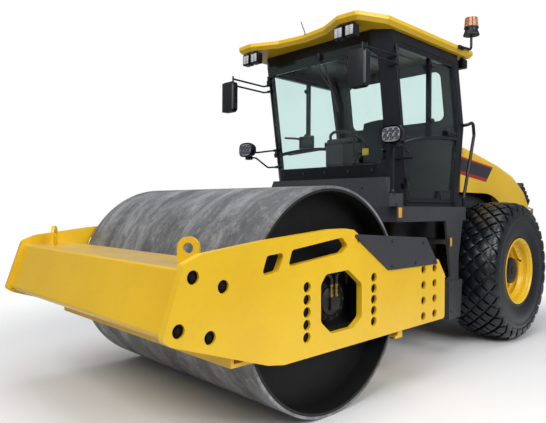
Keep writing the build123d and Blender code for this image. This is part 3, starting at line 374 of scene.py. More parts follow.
def lathe(bm, profile, centre, steps=96, axis="X", sign=1, mat=0, closed=False):
    """Revolves (along, radius) pairs about an axis through centre."""
    rings = []
    for i in range(steps):
        a = 2 * math.pi * i / steps
        ring = []
        for along, radius in profile:
            c, s = radius * math.cos(a), radius * math.sin(a)
            if axis == "X":
                p = Vector((sign * along, c, s))
            elif axis == "Y":
                p = Vector((c, sign * along, s))
            else:
                p = Vector((c, s, sign * along))
            ring.append(bm.verts.new(centre + p))
        rings.append(ring)
    count = len(profile)
    for i in range(steps):
        a, b = rings[i], rings[(i + 1) % steps]
        for k in range(count if closed else count - 1):
            j = (k + 1) % count
            quad = [a[k], a[j], b[j], b[k]]
            if profile[k][1] < 1e-7:
                quad = [a[k], a[j], b[j]]
            elif profile[j][1] < 1e-7:
                quad = [a[k], a[j], b[k]]
            face = bm.faces.new(quad)
            face.material_index = mat
    for k in range(count):
        if profile[k][1] < 1e-7:
            bmesh.ops.remove_doubles(bm, verts=[r[k] for r in rings], dist=1e-6)


def chamfer_box(bm, low, high, edge, mat=0, matrix=None):
    """A box with every edge cut, from its corners."""
    low, high = Vector(low), Vector(high)
    part = bmesh.new()
    bmesh.ops.create_cube(part, size=1.0)
    size, middle = high - low, (high + low) / 2
    for v in part.verts:
        v.co = Vector((v.co.x * size.x, v.co.y * size.y, v.co.z * size.z)) + middle
    edge = min(edge, 0.3 * min(size))
    bmesh.ops.bevel(part, geom=part.edges[:], offset=edge, segments=2, affect="EDGES", profile=0.5)
    join(bm, part, mat, matrix)


def slab(bm, x, half, low, high, edge, mat=0):
    """A cut box between two (y, z) corners, half to each side of x."""
    chamfer_box(bm, at(x - half, *low), at(x + half, *high), edge, mat)


def join(bm, part, mat=0, matrix=None):
    """Adds another bmesh to bm and frees it."""
    table = {}
    for v in part.verts:
        table[v] = bm.verts.new(matrix @ v.co if matrix else v.co)
    for f in part.faces:
        try:
            face = bm.faces.new([table[v] for v in f.verts])
        except ValueError:
            continue
        face.material_index = mat if mat is not None else f.material_index
    part.free()


def corner_arc(before, here, after, radius, steps):
    """Points of a rounded corner."""
    a, b = before - here, after - here
    reach = min(radius, 0.48 * a.length, 0.48 * b.length)
    a, b = here + a.normalized() * reach, here + b.normalized() * reach
    shares = [i / steps for i in range(steps + 1)]
    return [(1 - t) ** 2 * a + 2 * t * (1 - t) * here + t * t * b for t in shares]


def rounded(points, radius):
    """Points of a line with its corners rounded."""
    points = [Vector(p) for p in points]
    out = [points[0]]
    for before, here, after in zip(points, points[1:], points[2:]):
        out += corner_arc(before, here, after, radius, 6)
    out.append(points[-1])
    return out


def tube(bm, points, radius, sides=14, bend=0.05):
    """A round tube along points, closed at both ends."""
    line = rounded(points, bend) if len(points) > 2 else [Vector(p) for p in points]
    angles = [2 * math.pi * k / sides for k in range(sides)]
    rings = []
    side = None
    for i, p in enumerate(line):
        ahead = line[min(i + 1, len(line) - 1)] - line[max(i - 1, 0)]
        ahead.normalize()
        if side is None:
            side = ahead.orthogonal().normalized()
        side = (side - ahead * side.dot(ahead)).normalized()
        up = ahead.cross(side)
        rings.append([bm.verts.new(p + radius * (math.cos(t) * side + math.sin(t) * up)) for t in angles])
    skin(bm, rings)
    for ring in (rings[0], rings[-1]):
        bm.faces.new(ring)


def skin(bm, rings):
    """Faces between closed rings that follow each other."""
    for a, b in zip(rings, rings[1:]):
        for k in range(len(a)):
            j = (k + 1) % len(a)
            bm.faces.new([a[k], a[j], b[j], b[k]])


def plate(bm, outline, depth, plane, edge):
    """An extruded outline, drawn in the plane of a matrix, with its rims cut."""
    front, back = ([bm.verts.new(plane @ Vector((x, y, h))) for x, y in outline] for h in (0, depth))
    faces = [bm.faces.new(front), bm.faces.new(back)]
    for i in range(len(outline)):
        j = (i + 1) % len(outline)
        bm.faces.new([front[i], front[j], back[j], back[i]])
    lines = [e for f in faces for e in f.edges]
    bmesh.ops.bevel(bm, geom=lines, offset=edge, segments=2, affect="EDGES", profile=0.6)


def side_matrix(x, sign):
    """Plane drawn in y from the drum's axis and z, facing sign * X."""
    return Matrix(((0, 0, sign, x), (1, 0, 0, DRUM_Y), (0, 1, 0, 0), (0, 0, 0, 1)))


def bolt(bm, place, direction, size, height, washer=True):
    """A hexagon bolt head on a washer."""
    turn = Vector(direction).to_track_quat("Z", "Y").to_matrix().to_4x4()
    turn.translation = place
    part = bmesh.new()
    if washer:
        wide, flat = size * 0.72, height * 0.25
        lathe(part, [(0, 0), (0, wide), (flat, wide), (flat, 0)], Vector(), 16, "Z")
    head = [(height * 0.2, size * 0.5), (height * 0.85, size * 0.5), (height, size * 0.42), (height, 0)]
    lathe(part, head, Vector(), 6, "Z")
    join(bm, part, matrix=turn)


def mirrored(bm):
    """Adds the mirror image of what is in bm across the machine's middle plane."""
    copy = bm.copy()
    for v in copy.verts:
        v.co.x = -v.co.x
    bmesh.ops.reverse_faces(copy, faces=copy.faces)
    join(bm, copy, None)


def dress(node, material, bevel):
    """Gives a CAD node a material, and rounds its sharp edges a little."""
    obj = nodes[node]
    obj.data.materials.clear()
    obj.data.materials.append(material)
    if bevel:
        m = obj.modifiers.new("edges", "BEVEL")
        m.width = bevel
        m.segments = 2
        m.limit_method = "ANGLE"
        m.angle_limit = math.radians(40)


# Materials on the CAD nodes that stay, with the rounding of their edges in metres

for looks, edge, names in (
    (YELLOW, 0.004, "side_plate_left side_plate_right scrapers centre_link"),
    (YELLOW, 0.006, "roof"),
    # Beams in the darker yellow: painted shade, with real dust on top.
    (SHADED_DUSTY_YELLOW, 0.004, "front_beam rear_beam"),
    (HOOD_PAINT, 0, "hood"),
    (DARK, 0.004, "covers platform rear_bumper bay_panels chassis_sides chassis_walls rear_axle steps"),
    (DARK, 0, "chassis_yoke"),
    (BLACK, 0.003, "cab_frame door_left door_right work_lamps rear_grille roof_lamps"),
    (BLACK, 0, "handrails roof_poles mirrors steer_barrel_left steer_barrel_right"),
    (HEAD, 0, "drum_heads"),
    # The drum carriers are near black as painted shade deep in the drum's end.
    (PAINTED_SHADE_BLACK, 0.004, "drum_carriers"),
    (STEEL_DRUM, 0, "drum_shell"),
    (CHROME, 0, "steer_rod_left steer_rod_right"),
    (GLASS, 0, "cab_glass door_glass_left door_glass_right"),
    (PLASTIC, 0, "console engine"),
    (AMBER, 0, "beacon_lens"),
    (RED_LENS, 0, "tail_lamps"),
):
    for name in names.split():
        dress(name, looks, edge)

# Tyres with diamond lugs

TREAD = [
    (0.0, 0.6950), (0.06, 0.6945), (0.12, 0.6925), (0.17, 0.6880), (0.205, 0.6790), (0.233, 0.6610),
    (0.251, 0.6370), (0.2595, 0.6120), (0.2630, 0.5900),
]
LUGS = 30
LUG_ROW = 0.070


def tread_normals():
    """Outward direction at each point of the tread, across and in radius."""
    out = []
    for i in range(len(TREAD)):
        a, b = TREAD[max(i - 1, 0)], TREAD[min(i + 1, len(TREAD) - 1)]
        if i == 0:
            a = (-b[0], b[1])
        run = math.hypot(b[0] - a[0], b[1] - a[1])
        out.append(((a[1] - b[1]) / run, (b[0] - a[0]) / run))
    return out


TREAD_NORMALS = tread_normals()


def tread_point(s, lift):
    """Place across the tyre and radius: s along the tread from its middle, lift above it."""
    sign = -1 if s < 0 else 1
    left = abs(s)
    last = len(TREAD) - 2
    for i in range(last + 1):
        (x0, r0), (x1, r1) = TREAD[i], TREAD[i + 1]
        run = math.hypot(x1 - x0, r1 - r0)
        if left <= run or i == last:
            t = left / run
            nx = TREAD_NORMALS[i][0] * (1 - t) + TREAD_NORMALS[i + 1][0] * t
            nr = TREAD_NORMALS[i][1] * (1 - t) + TREAD_NORMALS[i + 1][1] * t
            return sign * (x0 + t * (x1 - x0) + lift * nx), r0 + t * (r1 - r0) + lift * nr
        left -= run


def tyre_vert(bm, centre, s, angle, lift):
    """A vertex above the tread at an angle round the tyre."""
    x, r = tread_point(s, lift)
    return bm.verts.new(round_x(centre, x, r, angle))


def lug_lift(s):
    """How high a lug stands, less towards the shoulder."""
    share = min(max((abs(s) - 0.17) / 0.13, 0), 1)
    return 0.0297 - 0.0175 * share * share


def station_is_end(stations, s):
    """Whether s is a lug's tip short of the shoulder."""
    return s in (stations[0][0], stations[-1][0]) and abs(s) < 0.29


def tread_block(bm, centre, stations, angle):
    """A lug from (s, half angle) stations across the tread."""
    top, low = [], []
    middle = sum(s for s, w in stations) / len(stations)
    for s, w in stations:
        inner = middle + (s - middle) * 0.93
        outer = middle + (s - middle) * 1.03
        lift = lug_lift(s)
        drop = 0.006 if station_is_end(stations, s) else 0.0
        crown = lift - drop
        top.append([
            tyre_vert(bm, centre, inner, angle + e * max(w - 0.005, 0.003), crown - 0.0035 * abs(e))
            for e in (-1, 0, 1)
        ])
        low.append([tyre_vert(bm, centre, outer, angle + e * (w + 0.004), -0.004) for e in (-1, 1)])
    for a, b in zip(top, top[1:]):
        bm.faces.new([a[0], a[1], b[1], b[0]])
        bm.faces.new([a[1], a[2], b[2], b[1]])
    for i in range(len(top) - 1):
        bm.faces.new([top[i][0], top[i + 1][0], low[i + 1][0], low[i][0]])
        bm.faces.new([top[i][2], top[i + 1][2], low[i + 1][1], low[i][1]])
    for i in (0, -1):
        bm.faces.new([top[i][0], top[i][1], top[i][2], low[i][1], low[i][0]])


def tyre(side_name, sign):
    """Tyre with rows of diamond lugs."""
    centre = at(sign * WHEEL_X, WHEELBASE, WHEEL_R)
    bm = bmesh.new()
    half = [
        *TREAD, (0.2665, 0.570), (0.2665, 0.560), (0.2635, 0.553), (0.2640, 0.520), (0.2615, 0.470),
        (0.2540, 0.425), (0.2420, 0.388), (0.2330, 0.368), (0.2345, 0.360), (0.2330, 0.352), (0.2180, 0.346),
        (0.2080, 0.330), (0.1980, 0.3185),
    ]
    profile = [(-x, r) for x, r in reversed(half[1:])] + half
    lathe(bm, profile, centre, 144, closed=True)
    pitch = 2 * math.pi / LUGS
    half_s, half_w = LUG_ROW * 0.81, pitch / 2 * 0.81
    for row in range(-4, 5):
        s0 = row * LUG_ROW
        if abs(row) < 4:
            stations = [(s0 + t * half_s, half_w * (1 - abs(t))) for t in (-1, -0.5, 0, 0.5, 1)]
        else:
            e = 1 if row > 0 else -1
            stations = [(s0 + e * t * half_s, half_w * (1 - abs(t))) for t in (-1, -0.5, 0)]
            stations += [(e * 0.296, half_w * 0.97), (e * 0.313, half_w * 0.92)]
        for k in range(LUGS):
            tread_block(bm, centre, stations, pitch * (k + 0.5 * (row % 2)))
    body = "wheel_" + side_name
    finish_object("tyre_" + side_name + "_tread", bm, RUBBER, body, ["tyre_" + side_name], 34)


# Rims: deep dish with rolled bands, hub cap and valve


def rim(side_name, sign):
    """Dished rim with its bolts, hub cap and valve."""
    centre = at(sign * WHEEL_X, WHEELBASE, WHEEL_R)
    body = "wheel_" + side_name
    outer = [
        (0.078, 0.120), (0.078, 0.158), (0.074, 0.176), (0.062, 0.188), (0.040, 0.205), (0.020, 0.228),
        (0.008, 0.250), (0.006, 0.262), (0.012, 0.270), (0.026, 0.273), (0.040, 0.271), (0.050, 0.264),
        (0.060, 0.262), (0.068, 0.270), (0.078, 0.276), (0.098, 0.277), (0.110, 0.270), (0.120, 0.269),
        (0.128, 0.277), (0.138, 0.289), (0.150, 0.2985), (0.168, 0.303), (0.190, 0.3035), (0.206, 0.306),
        (0.217, 0.314), (0.222, 0.326), (0.225, 0.3385), (0.229, 0.3445), (0.235, 0.3455), (0.2385, 0.341),
        (0.2380, 0.333), (0.2330, 0.330), (0.222, 0.3170),
    ]
    inner = [
        (0.010, 0.264), (-0.012, 0.272), (-0.030, 0.276), (-0.128, 0.277), (-0.150, 0.303), (-0.215, 0.304),
        (-0.222, 0.330), (-0.231, 0.345), (-0.234, 0.341), (-0.234, 0.3185), (-0.150, 0.3180),
        (-0.128, 0.291), (0.120, 0.291),
    ]
    dish = [(0.066, 0.120), (0.066, 0.150), (0.050, 0.180), (0.0, 0.240), (-0.008, 0.272)]
    bm = bmesh.new()
    for profile, steps in ((outer, 144), (inner, 144), (dish, 96)):
        lathe(bm, profile, centre, steps, sign=sign)
    for k in range(8):
        spot = round_x(centre, sign * 0.076, 0.148, 2 * math.pi * (k + 0.5) / 8)
        bolt(bm, spot, (sign, 0, 0), 0.015, 0.008)
    finish_object("rim_" + side_name + "_dish", bm, YELLOW, body, ["rim_" + side_name], 28)
    cap = [
        (0.070, 0.130), (0.080, 0.1345), (0.120, 0.1345), (0.128, 0.1385), (0.142, 0.1385), (0.156, 0.134),
        (0.164, 0.120), (0.1665, 0.085), (0.1665, 0.0),
    ]
    button = [(0.165, 0.040), (0.172, 0.038), (0.173, 0.0)]
    hub = [(-0.040, 0.0), (-0.034, 0.120), (0.010, 0.150), (0.064, 0.150), (0.068, 0.120)]
    bm = bmesh.new()
    for profile, steps in ((cap, 96), (button, 32), (hub, 64)):
        lathe(bm, profile, centre, steps, sign=sign)
    finish_object("hub_" + side_name + "_cap", bm, BLACK, body, (), 30)
    bm = bmesh.new()
    angle = math.radians(22)
    root = round_x(centre, sign * 0.118, 0.268, angle)
    tip = round_x(centre, sign * 0.155, 0.232, angle)
    tube(bm, [root, 0.5 * (root + tip) + Vector((sign * 0.008, 0, 0)), tip], 0.006, 10)
    stem = [(-0.008, 0.0), (-0.008, 0.009), (0.012, 0.009), (0.014, 0.006), (0.014, 0)]
    lathe(bm, stem, tip, 14, sign=sign)
    finish_object("valve_" + side_name, bm, HOSE, body)


for name, sign in SIDES:
    tyre(name, sign)
    rim(name, sign)

# Side plates: plugs in the holes, bolts on the covers

BEAM_HOLES = [(-1.179, 0.264), (-0.986, 0.199), (-1.263, 0.006), (-1.070, -0.057)]
COLUMN_HOLES = [(y, -0.023 + 0.077 * k) for y in (-0.335, 0.353) for k in (-2, -1, 0, 1, 2)]
COLUMN_HOLES += [(y, -0.048 + 0.122 * k) for y in (1.010, 1.178) for k in (-1.5, -0.5, 0.5, 1.5)]


def plate_bolts():
    """Bolt heads sunk in the side plates' holes, near black as painted shade, and the bolts of the covers."""
    bm = bmesh.new()
    for holes, x, wide, narrow, size, steps in (
        (BEAM_HOLES, 1.134, 0.0363, 0.031, 0.040, 32), (COLUMN_HOLES, 1.130, 0.0323, 0.028, 0.034, 28),
    ):
        plug = [(-0.020, wide), (0.0, wide), (0.0, narrow), (-0.006, narrow - 0.002), (-0.006, 0)]
        for y, z in holes:
            lathe(bm, plug, at(x, y, DRUM_Z + z), steps)
            bolt(bm, at(x - 0.006, y, DRUM_Z + z), (1, 0, 0), size, 0.014)
    mirrored(bm)
    finish_object("plate_bolts", bm, PAINTED_SHADE_BLACK, "front")
    bm = bmesh.new()
    for y, z in ((0.17, 0.40), (0.57, 0.375), (0.985, 0.347), (0.565, 0.195), (0.88, 0.195), (1.165, 0.195)):
        bolt(bm, at(1.158, y, DRUM_Z + z), (1, 0, 0), 0.018, 0.009)
    mirrored(bm)
    finish_object("cover_bolts", bm, BOLT, "front")


plate_bolts()


def drum_drive():
    """Motor on each drum bracket, with its bolts, brass fittings and hoses."""
    hub = at(1.050, 0, DRUM_Z)
    pipe_x = 1.077
    bm = bmesh.new()
    for k in range(12):
        bolt(bm, round_x(hub, 0.0005, 0.120, 2 * math.pi * k / 12), (1, 0, 0), 0.020, 0.010)
    lathe(bm, [(0.0, 0.098), (0.010, 0.096), (0.014, 0.088), (0.024, 0.070), (0.028, 0.0)], hub, 48)
    chamfer_box(bm, at(1.055, -0.045, DRUM_Z - 0.060), at(1.098, 0.045, DRUM_Z + 0.030), 0.008)
    mirrored(bm)
    # The motors are near black: painted shade deep in the drum's end.
    finish_object("drum_motors", bm, CAST_IRON_SHADED, "front")
    stem = [
        (0.0, 0.015), (0.020, 0.015), (0.020, 0.010), (0.070, 0.009), (0.070, 0.014), (0.086, 0.014),
        (0.086, 0.0),
    ]
    fittings, hoses = bmesh.new(), bmesh.new()
    for y, end in ((-0.024, -0.19), (0.026, 0.21)):
        lathe(fittings, stem, at(pipe_x, y, DRUM_Z + 0.026), 18, "Z")
        bolt(fittings, at(pipe_x, y, DRUM_Z + 0.060), (0, 0, 1), 0.028, 0.012, washer=False)
        route = (
            (pipe_x, y, 0.105), (pipe_x, y, 0.165), (1.055, 0.5 * (y + end), 0.205), (1.020, end, 0.165),
            (0.985, 1.2 * end, 0.09),
        )
        tube(hoses, [at(px, py, DRUM_Z + h) for px, py, h in route], 0.0125, 12, bend=0.06)
    mirrored(fittings)
    finish_object("drum_motor_fittings", fittings, BRASS, "front")
    mirrored(hoses)
    finish_object("drum_motor_hoses", hoses, HOSE, "front")


drum_drive()


def scraper_bolts():
    """Bolt heads and rubber edges of the two scrapers."""
    bm = bmesh.new()
    for k in range(12):
        x = -1.0 + 2.0 * k / 11
        bolt(bm, at(x, -0.858, 0.527), (0, 0, 1), 0.022, 0.010)
        bolt(bm, at(x, 0.735, 0.426), (0, 0, 1), 0.022, 0.010)
    finish_object("scraper_bolts", bm, BOLT, "front")
    bm = bmesh.new()
    chamfer_box(bm, at(-1.09, -0.752, 0.500), at(1.09, -0.7285, 0.509), 0.002)
    chamfer_box(bm, at(-1.09, 0.684, 0.400), at(1.09, 0.712, 0.409), 0.002)
    finish_object("scraper_edges", bm, SEAL, "front")


scraper_bolts()

# Cab: seals, trims, wiper, lamps, mirrors


BAND = ((-0.5, 0), (0.5, 0), (0.5, 0.7), (0.25, 1), (-0.25, 1), (-0.5, 0.7))


def frame_loop(bm, points, width, depth, matrix, radius):
    """A crowned band along a closed outline with rounded corners, drawn in the matrix's plane."""
    points = [Vector(p) for p in points]
    count = len(points)
    centre = sum(points, Vector((0, 0))) / count
    loop = []
    for i in range(count):
        loop += corner_arc(points[i - 1], points[i], points[(i + 1) % count], radius, 8)
    rows = []
    for i, p in enumerate(loop):
        ahead = (loop[(i + 1) % len(loop)] - loop[i - 1]).normalized()
        out = Vector((ahead.y, -ahead.x))
        if out.dot(p - centre) < 0:
            out = -out
        places = [(*(p + out * width * share), depth * rise) for share, rise in BAND]
        rows.append([bm.verts.new(matrix @ Vector(q)) for q in places])
    skin(bm, rows + rows[:1])


def cab_front(z):
    """Where the windscreen's plane stands at a height, y from the drum's axis."""
    return 1.16 - (z - 1.652) * (0.18 / 1.148)


def on_screen(x, z, out):
    """A point that stands out in front of the windscreen."""
    return at(x, cab_front(z) - out, z)


def cab_trims():
    """Wiper with its arm, the upright rail on the windscreen, and the cab's bolts."""
    rail_x = 0.395
    bm = bmesh.new()
    tube(bm, [on_screen(rail_x, 1.80, 0.022), on_screen(rail_x, 2.72, 0.022)], 0.008, 10)
    for z in (1.80, 2.72):
        y = cab_front(z)
        slab(bm, rail_x, 0.020, (y - 0.034, z - 0.02), (y + 0.004, z + 0.02), 0.004)
    for z in (2.02, 2.27, 2.52):
        y = cab_front(z)
        slab(bm, rail_x, 0.008, (y - 0.030, z - 0.012), (y - 0.016, z + 0.012), 0.003)
    arm = [on_screen(0.08, 2.76, 0.030), on_screen(0.10, 2.62, 0.042), on_screen(0.20, 2.46, 0.034)]
    tube(bm, arm, 0.0065, 10)
    slab(bm, 0.080, 0.025, (cab_front(2.77) - 0.045, 2.74), (cab_front(2.77) + 0.005, 2.80), 0.008)
    tube(bm, [on_screen(0.13, 2.70, 0.020), on_screen(0.245, 2.25, 0.020)], 0.006, 8)
    tube(bm, [on_screen(0.136, 2.70, 0.012), on_screen(0.251, 2.25, 0.012)], 0.004, 8)
    finish_object("wiper", bm, PLASTIC, "rear")
    bm = bmesh.new()
    for x in (-0.55, -0.28, 0.0, 0.28, 0.55):
        bolt(bm, on_screen(x, 1.715, 0.001), (0, -1, -0.157), 0.020, 0.009)
    for x in (-0.46, 0.46):
        for y, z in ((1.105, 1.47), (1.124, 1.56)):
            bolt(bm, at(x, y, z), (0, -1, 0.2), 0.020, 0.009)
    finish_object("cab_bolts", bm, BOLT, "rear")


cab_trims()


def screen_header():
    """Dark glass that carries the windscreen up over the cab's header."""
    bm = bmesh.new()
    across = [-0.62 + 0.124 * k for k in range(11)]
    rows = []
    for z in (2.705, 2.735, 2.765, 2.795):
        for out in (0.010, 0.002):
            rows.append([bm.verts.new(on_screen(x, z, out)) for x in across])
    front, rear = rows[0::2], rows[1::2]
    loop = [*zip(front, front[1:]), *zip(rear, rear[1:]), (front[0], rear[0]), (front[-1], rear[-1])]
    for a, b in loop:
        for k in range(10):
            bm.faces.new([a[k], a[k + 1], b[k + 1], b[k]])
    for k in (0, -1):
        bm.faces.new([r[k] for r in front] + [r[k] for r in reversed(rear)])
    finish_object("screen_header", bm, HEADER, "rear")


screen_header()


def headliner():
    """Dark lining under the roof."""
    bm = bmesh.new()
    outline = [(-0.56, 1.03), (0.56, 1.03), (0.725, 1.19), (0.725, 2.19), (-0.725, 2.19), (-0.725, 1.19)]
    plate(bm, outline, 0.022, Matrix.Translation(at(0, 0, 2.875)), 0.004)
    for x in (-0.30, 0.30):
        slab(bm, x, 0.15, (1.25, 2.866), (2.05, 2.877), 0.004)
    finish_object("headliner", bm, PLASTIC, "rear")


headliner()


def oval(centre, width, height, depth, power, steps):
    """Points of an upright rounded rectangle, depth behind centre."""
    points = []
    for i in range(steps):
        c, s = math.cos(2 * math.pi * i / steps), math.sin(2 * math.pi * i / steps)
        x = math.copysign(abs(c) ** power, c) * width / 2
        z = math.copysign(abs(s) ** power, s) * height / 2
        points.append(centre + Vector((x, depth, z)))
    return points


def lamp_cluster(bm, centre, width, height):
    """Six round light cells in a bright reflector, facing the front."""
    across, rows, radius, steps = 3, 2, 0.0245, 40
    inner = [bm.verts.new(p) for p in oval(centre, 0.93 * width, 0.93 * height, -0.004, 0.6, steps)]
    outer = [bm.verts.new(p) for p in oval(centre, width, height, 0.003, 0.6, steps)]
    for i in range(steps):
        j = (i + 1) % steps
        bm.faces.new([inner[i], inner[j], outer[j], outer[i]]).material_index = 1
    bm.faces.new(inner).material_index = 0
    cell = [(0.0, radius), (0.004, radius), (0.003, radius * 0.82), (-0.001, radius * 0.5), (0.002, 0)]
    for r in range(rows):
        for c in range(across):
            x = (c - (across - 1) / 2) * width * 0.84 / across
            z = (r - (rows - 1) / 2) * height * 0.76 / rows
            lathe(bm, cell, centre + Vector((x, -0.0045, z)), 20, "Y", -1, mat=2)


def lamp_shell(bm, centre, width, height):
    """A bowl-shaped housing behind a lamp's face, its rim towards the front."""
    rings = []
    bowl = ((0.0, 0.93), (-0.006, 0.97), (-0.004, 1.0), (0.020, 1.0), (0.060, 0.86), (0.085, 0.55))
    for depth, share in bowl:
        points = oval(centre, share * width, share * height, depth, 0.62, 48)
        rings.append([bm.verts.new(p) for p in points])
    skin(bm, rings)
    bm.faces.new(rings[-1])


def lamp_box(bm, centre, width, height):
    """A square lens in a raised rim, with two upright light cells."""
    for x0, z0, x1, z1, y0, y1, mat in (
        (-0.5, -0.5, 0.5, 0.5, -0.003, 0.002, 1),
        (-0.45, -0.44, -0.03, 0.44, -0.006, 0.0, 0),
        (0.03, -0.44, 0.45, 0.44, -0.006, 0.0, 0),
    ):
        low = centre + Vector((x0 * width, y0, z0 * height))
        chamfer_box(bm, low, centre + Vector((x1 * width, y1, z1 * height)), 0.004, mat)


def lamps():
    """Work lamps before and behind the cab, and the lamps in the roof's front edge."""
    for name, sign in SIDES:
        bm = bmesh.new()
        lamp_cluster(bm, at(sign * 0.900, 0.9215, 1.978), 0.184, 0.128)
        finish_object("work_lamp_face_" + name, bm, [REFLECT, BLACK, CELL], "rear", sharp=40)
    bm = bmesh.new()
    for sign in (-1, 1):
        lamp_shell(bm, at(sign * 0.900, 0.925, 1.978), 0.205, 0.148)
    tube(bm, [at(0.832, 1.045, 1.500), at(0.832, 1.045, 1.84), at(0.875, 0.990, 1.915)], 0.017, 14, bend=0.06)
    foot = [(0.0, 0.032), (0.012, 0.032), (0.016, 0.022), (0.034, 0.019)]
    lathe(bm, foot, at(0.832, 1.045, 1.503), 20, "Z")
    finish_object("work_lamp_shells", bm, BLACK, "rear", sharp=40)
    bm = bmesh.new()
    for x in (-0.765, 0.765):
        slab(bm, x, 0.050, (2.325, 2.790), (2.395, 2.880), 0.010)
        slab(bm, x, 0.014, (2.350, 2.876), (2.380, 2.902), 0.003)
        slab(bm, x, 0.040, (2.393, 2.800), (2.398, 2.870), 0.004, 1)
    finish_object("rear_work_lamps", bm, [BLACK, LAMP_LENS], "rear")
    faces, fins = bmesh.new(), bmesh.new()
    for x in (-0.643, -0.526, 0.526, 0.643):
        lamp_box(faces, at(x, 0.7000, 2.8295), 0.084, 0.088)
        for k in range(7):
            z = 2.795 + 0.012 * k
            slab(fins, x, 0.048, (0.762, z), (0.772, z + 0.005), 0.001)
    finish_object("roof_lamp_faces", faces, [LAMP_LENS, BLACK], "rear", sharp=40)
    finish_object("roof_lamp_fins", fins, BLACK, "rear")


lamps()


def mirror_faces():
    """Glass, back and edge strip of the mirrors."""
    for name, material, boxes in (
        ("mirror_faces", MIRROR, [(-0.078, 0.646, 2.335, 0.078, 0.654, 2.607, 0.020)]),
        ("mirror_backs", PLASTIC, [
            (-0.086, 0.594, 2.325, 0.062, 0.602, 2.617, 0.012),
            (-0.012, 0.652, 2.44, 0.012, 0.690, 2.50, 0.006),
        ]),
        ("mirror_strips", GREY_PLASTIC, [(0.064, 0.594, 2.345, 0.086, 0.603, 2.597, 0.004)]),
    ):
        bm = bmesh.new()
        for x in (-0.799, 0.799):
            for x0, y0, z0, x1, y1, z1, edge in boxes:
                chamfer_box(bm, at(x + x0, y0, z0), at(x + x1, y1, z1), edge)
        finish_object(name, bm, material, "rear")


mirror_faces()


def doors():
    """Seals, knobs, handles, pull bars, locks and their bolts, each side on its own leaf."""
    seal = [(1.350, 1.440), (1.145, 2.800), (2.182, 2.800), (2.306, 2.205), (2.192, 1.440)]
    knob = [(-0.002, 0.012), (0.010, 0.012), (0.012, 0.022), (0.026, 0.024), (0.032, 0.018), (0.034, 0)]
    bar = [(0.738, 1.40, 1.95), (0.700, 1.42, 1.955), (0.700, 1.95, 2.055), (0.738, 1.98, 2.06)]
    for name, sign in SIDES:
        leaf = "leaf_" + name
        bm = bmesh.new()
        frame_loop(bm, seal, 0.012, 0.005, side_matrix(sign * 0.780, sign), 0.05)
        for z in (2.19, 2.70):
            lathe(bm, knob, at(sign * 0.780, 1.742, z), 24, sign=sign)
        slab(bm, sign * 0.785, 0.012, (2.06, 2.085), (2.17, 2.145), 0.008)
        slab(bm, sign * 0.800, 0.010, (2.075, 2.10), (2.155, 2.118), 0.006)
        tube(bm, [at(sign * x, y, z) for x, y, z in bar], 0.011, 12)
        finish_object("door_" + name + "_trim", bm, PLASTIC, leaf)
        bm = bmesh.new()
        slab(bm, sign * 0.782, 0.004, (1.925, 1.455), (2.11, 1.525), 0.003)
        finish_object("door_" + name + "_lock", bm, SEAL, leaf)
        bm = bmesh.new()
        for z in (1.475, 1.51):
            for y in (1.98, 2.05):
                bolt(bm, at(sign * 0.786, y, z), (sign, 0, 0), 0.012, 0.006)
        finish_object("door_" + name + "_bolts", bm, BOLT, leaf)


doors()


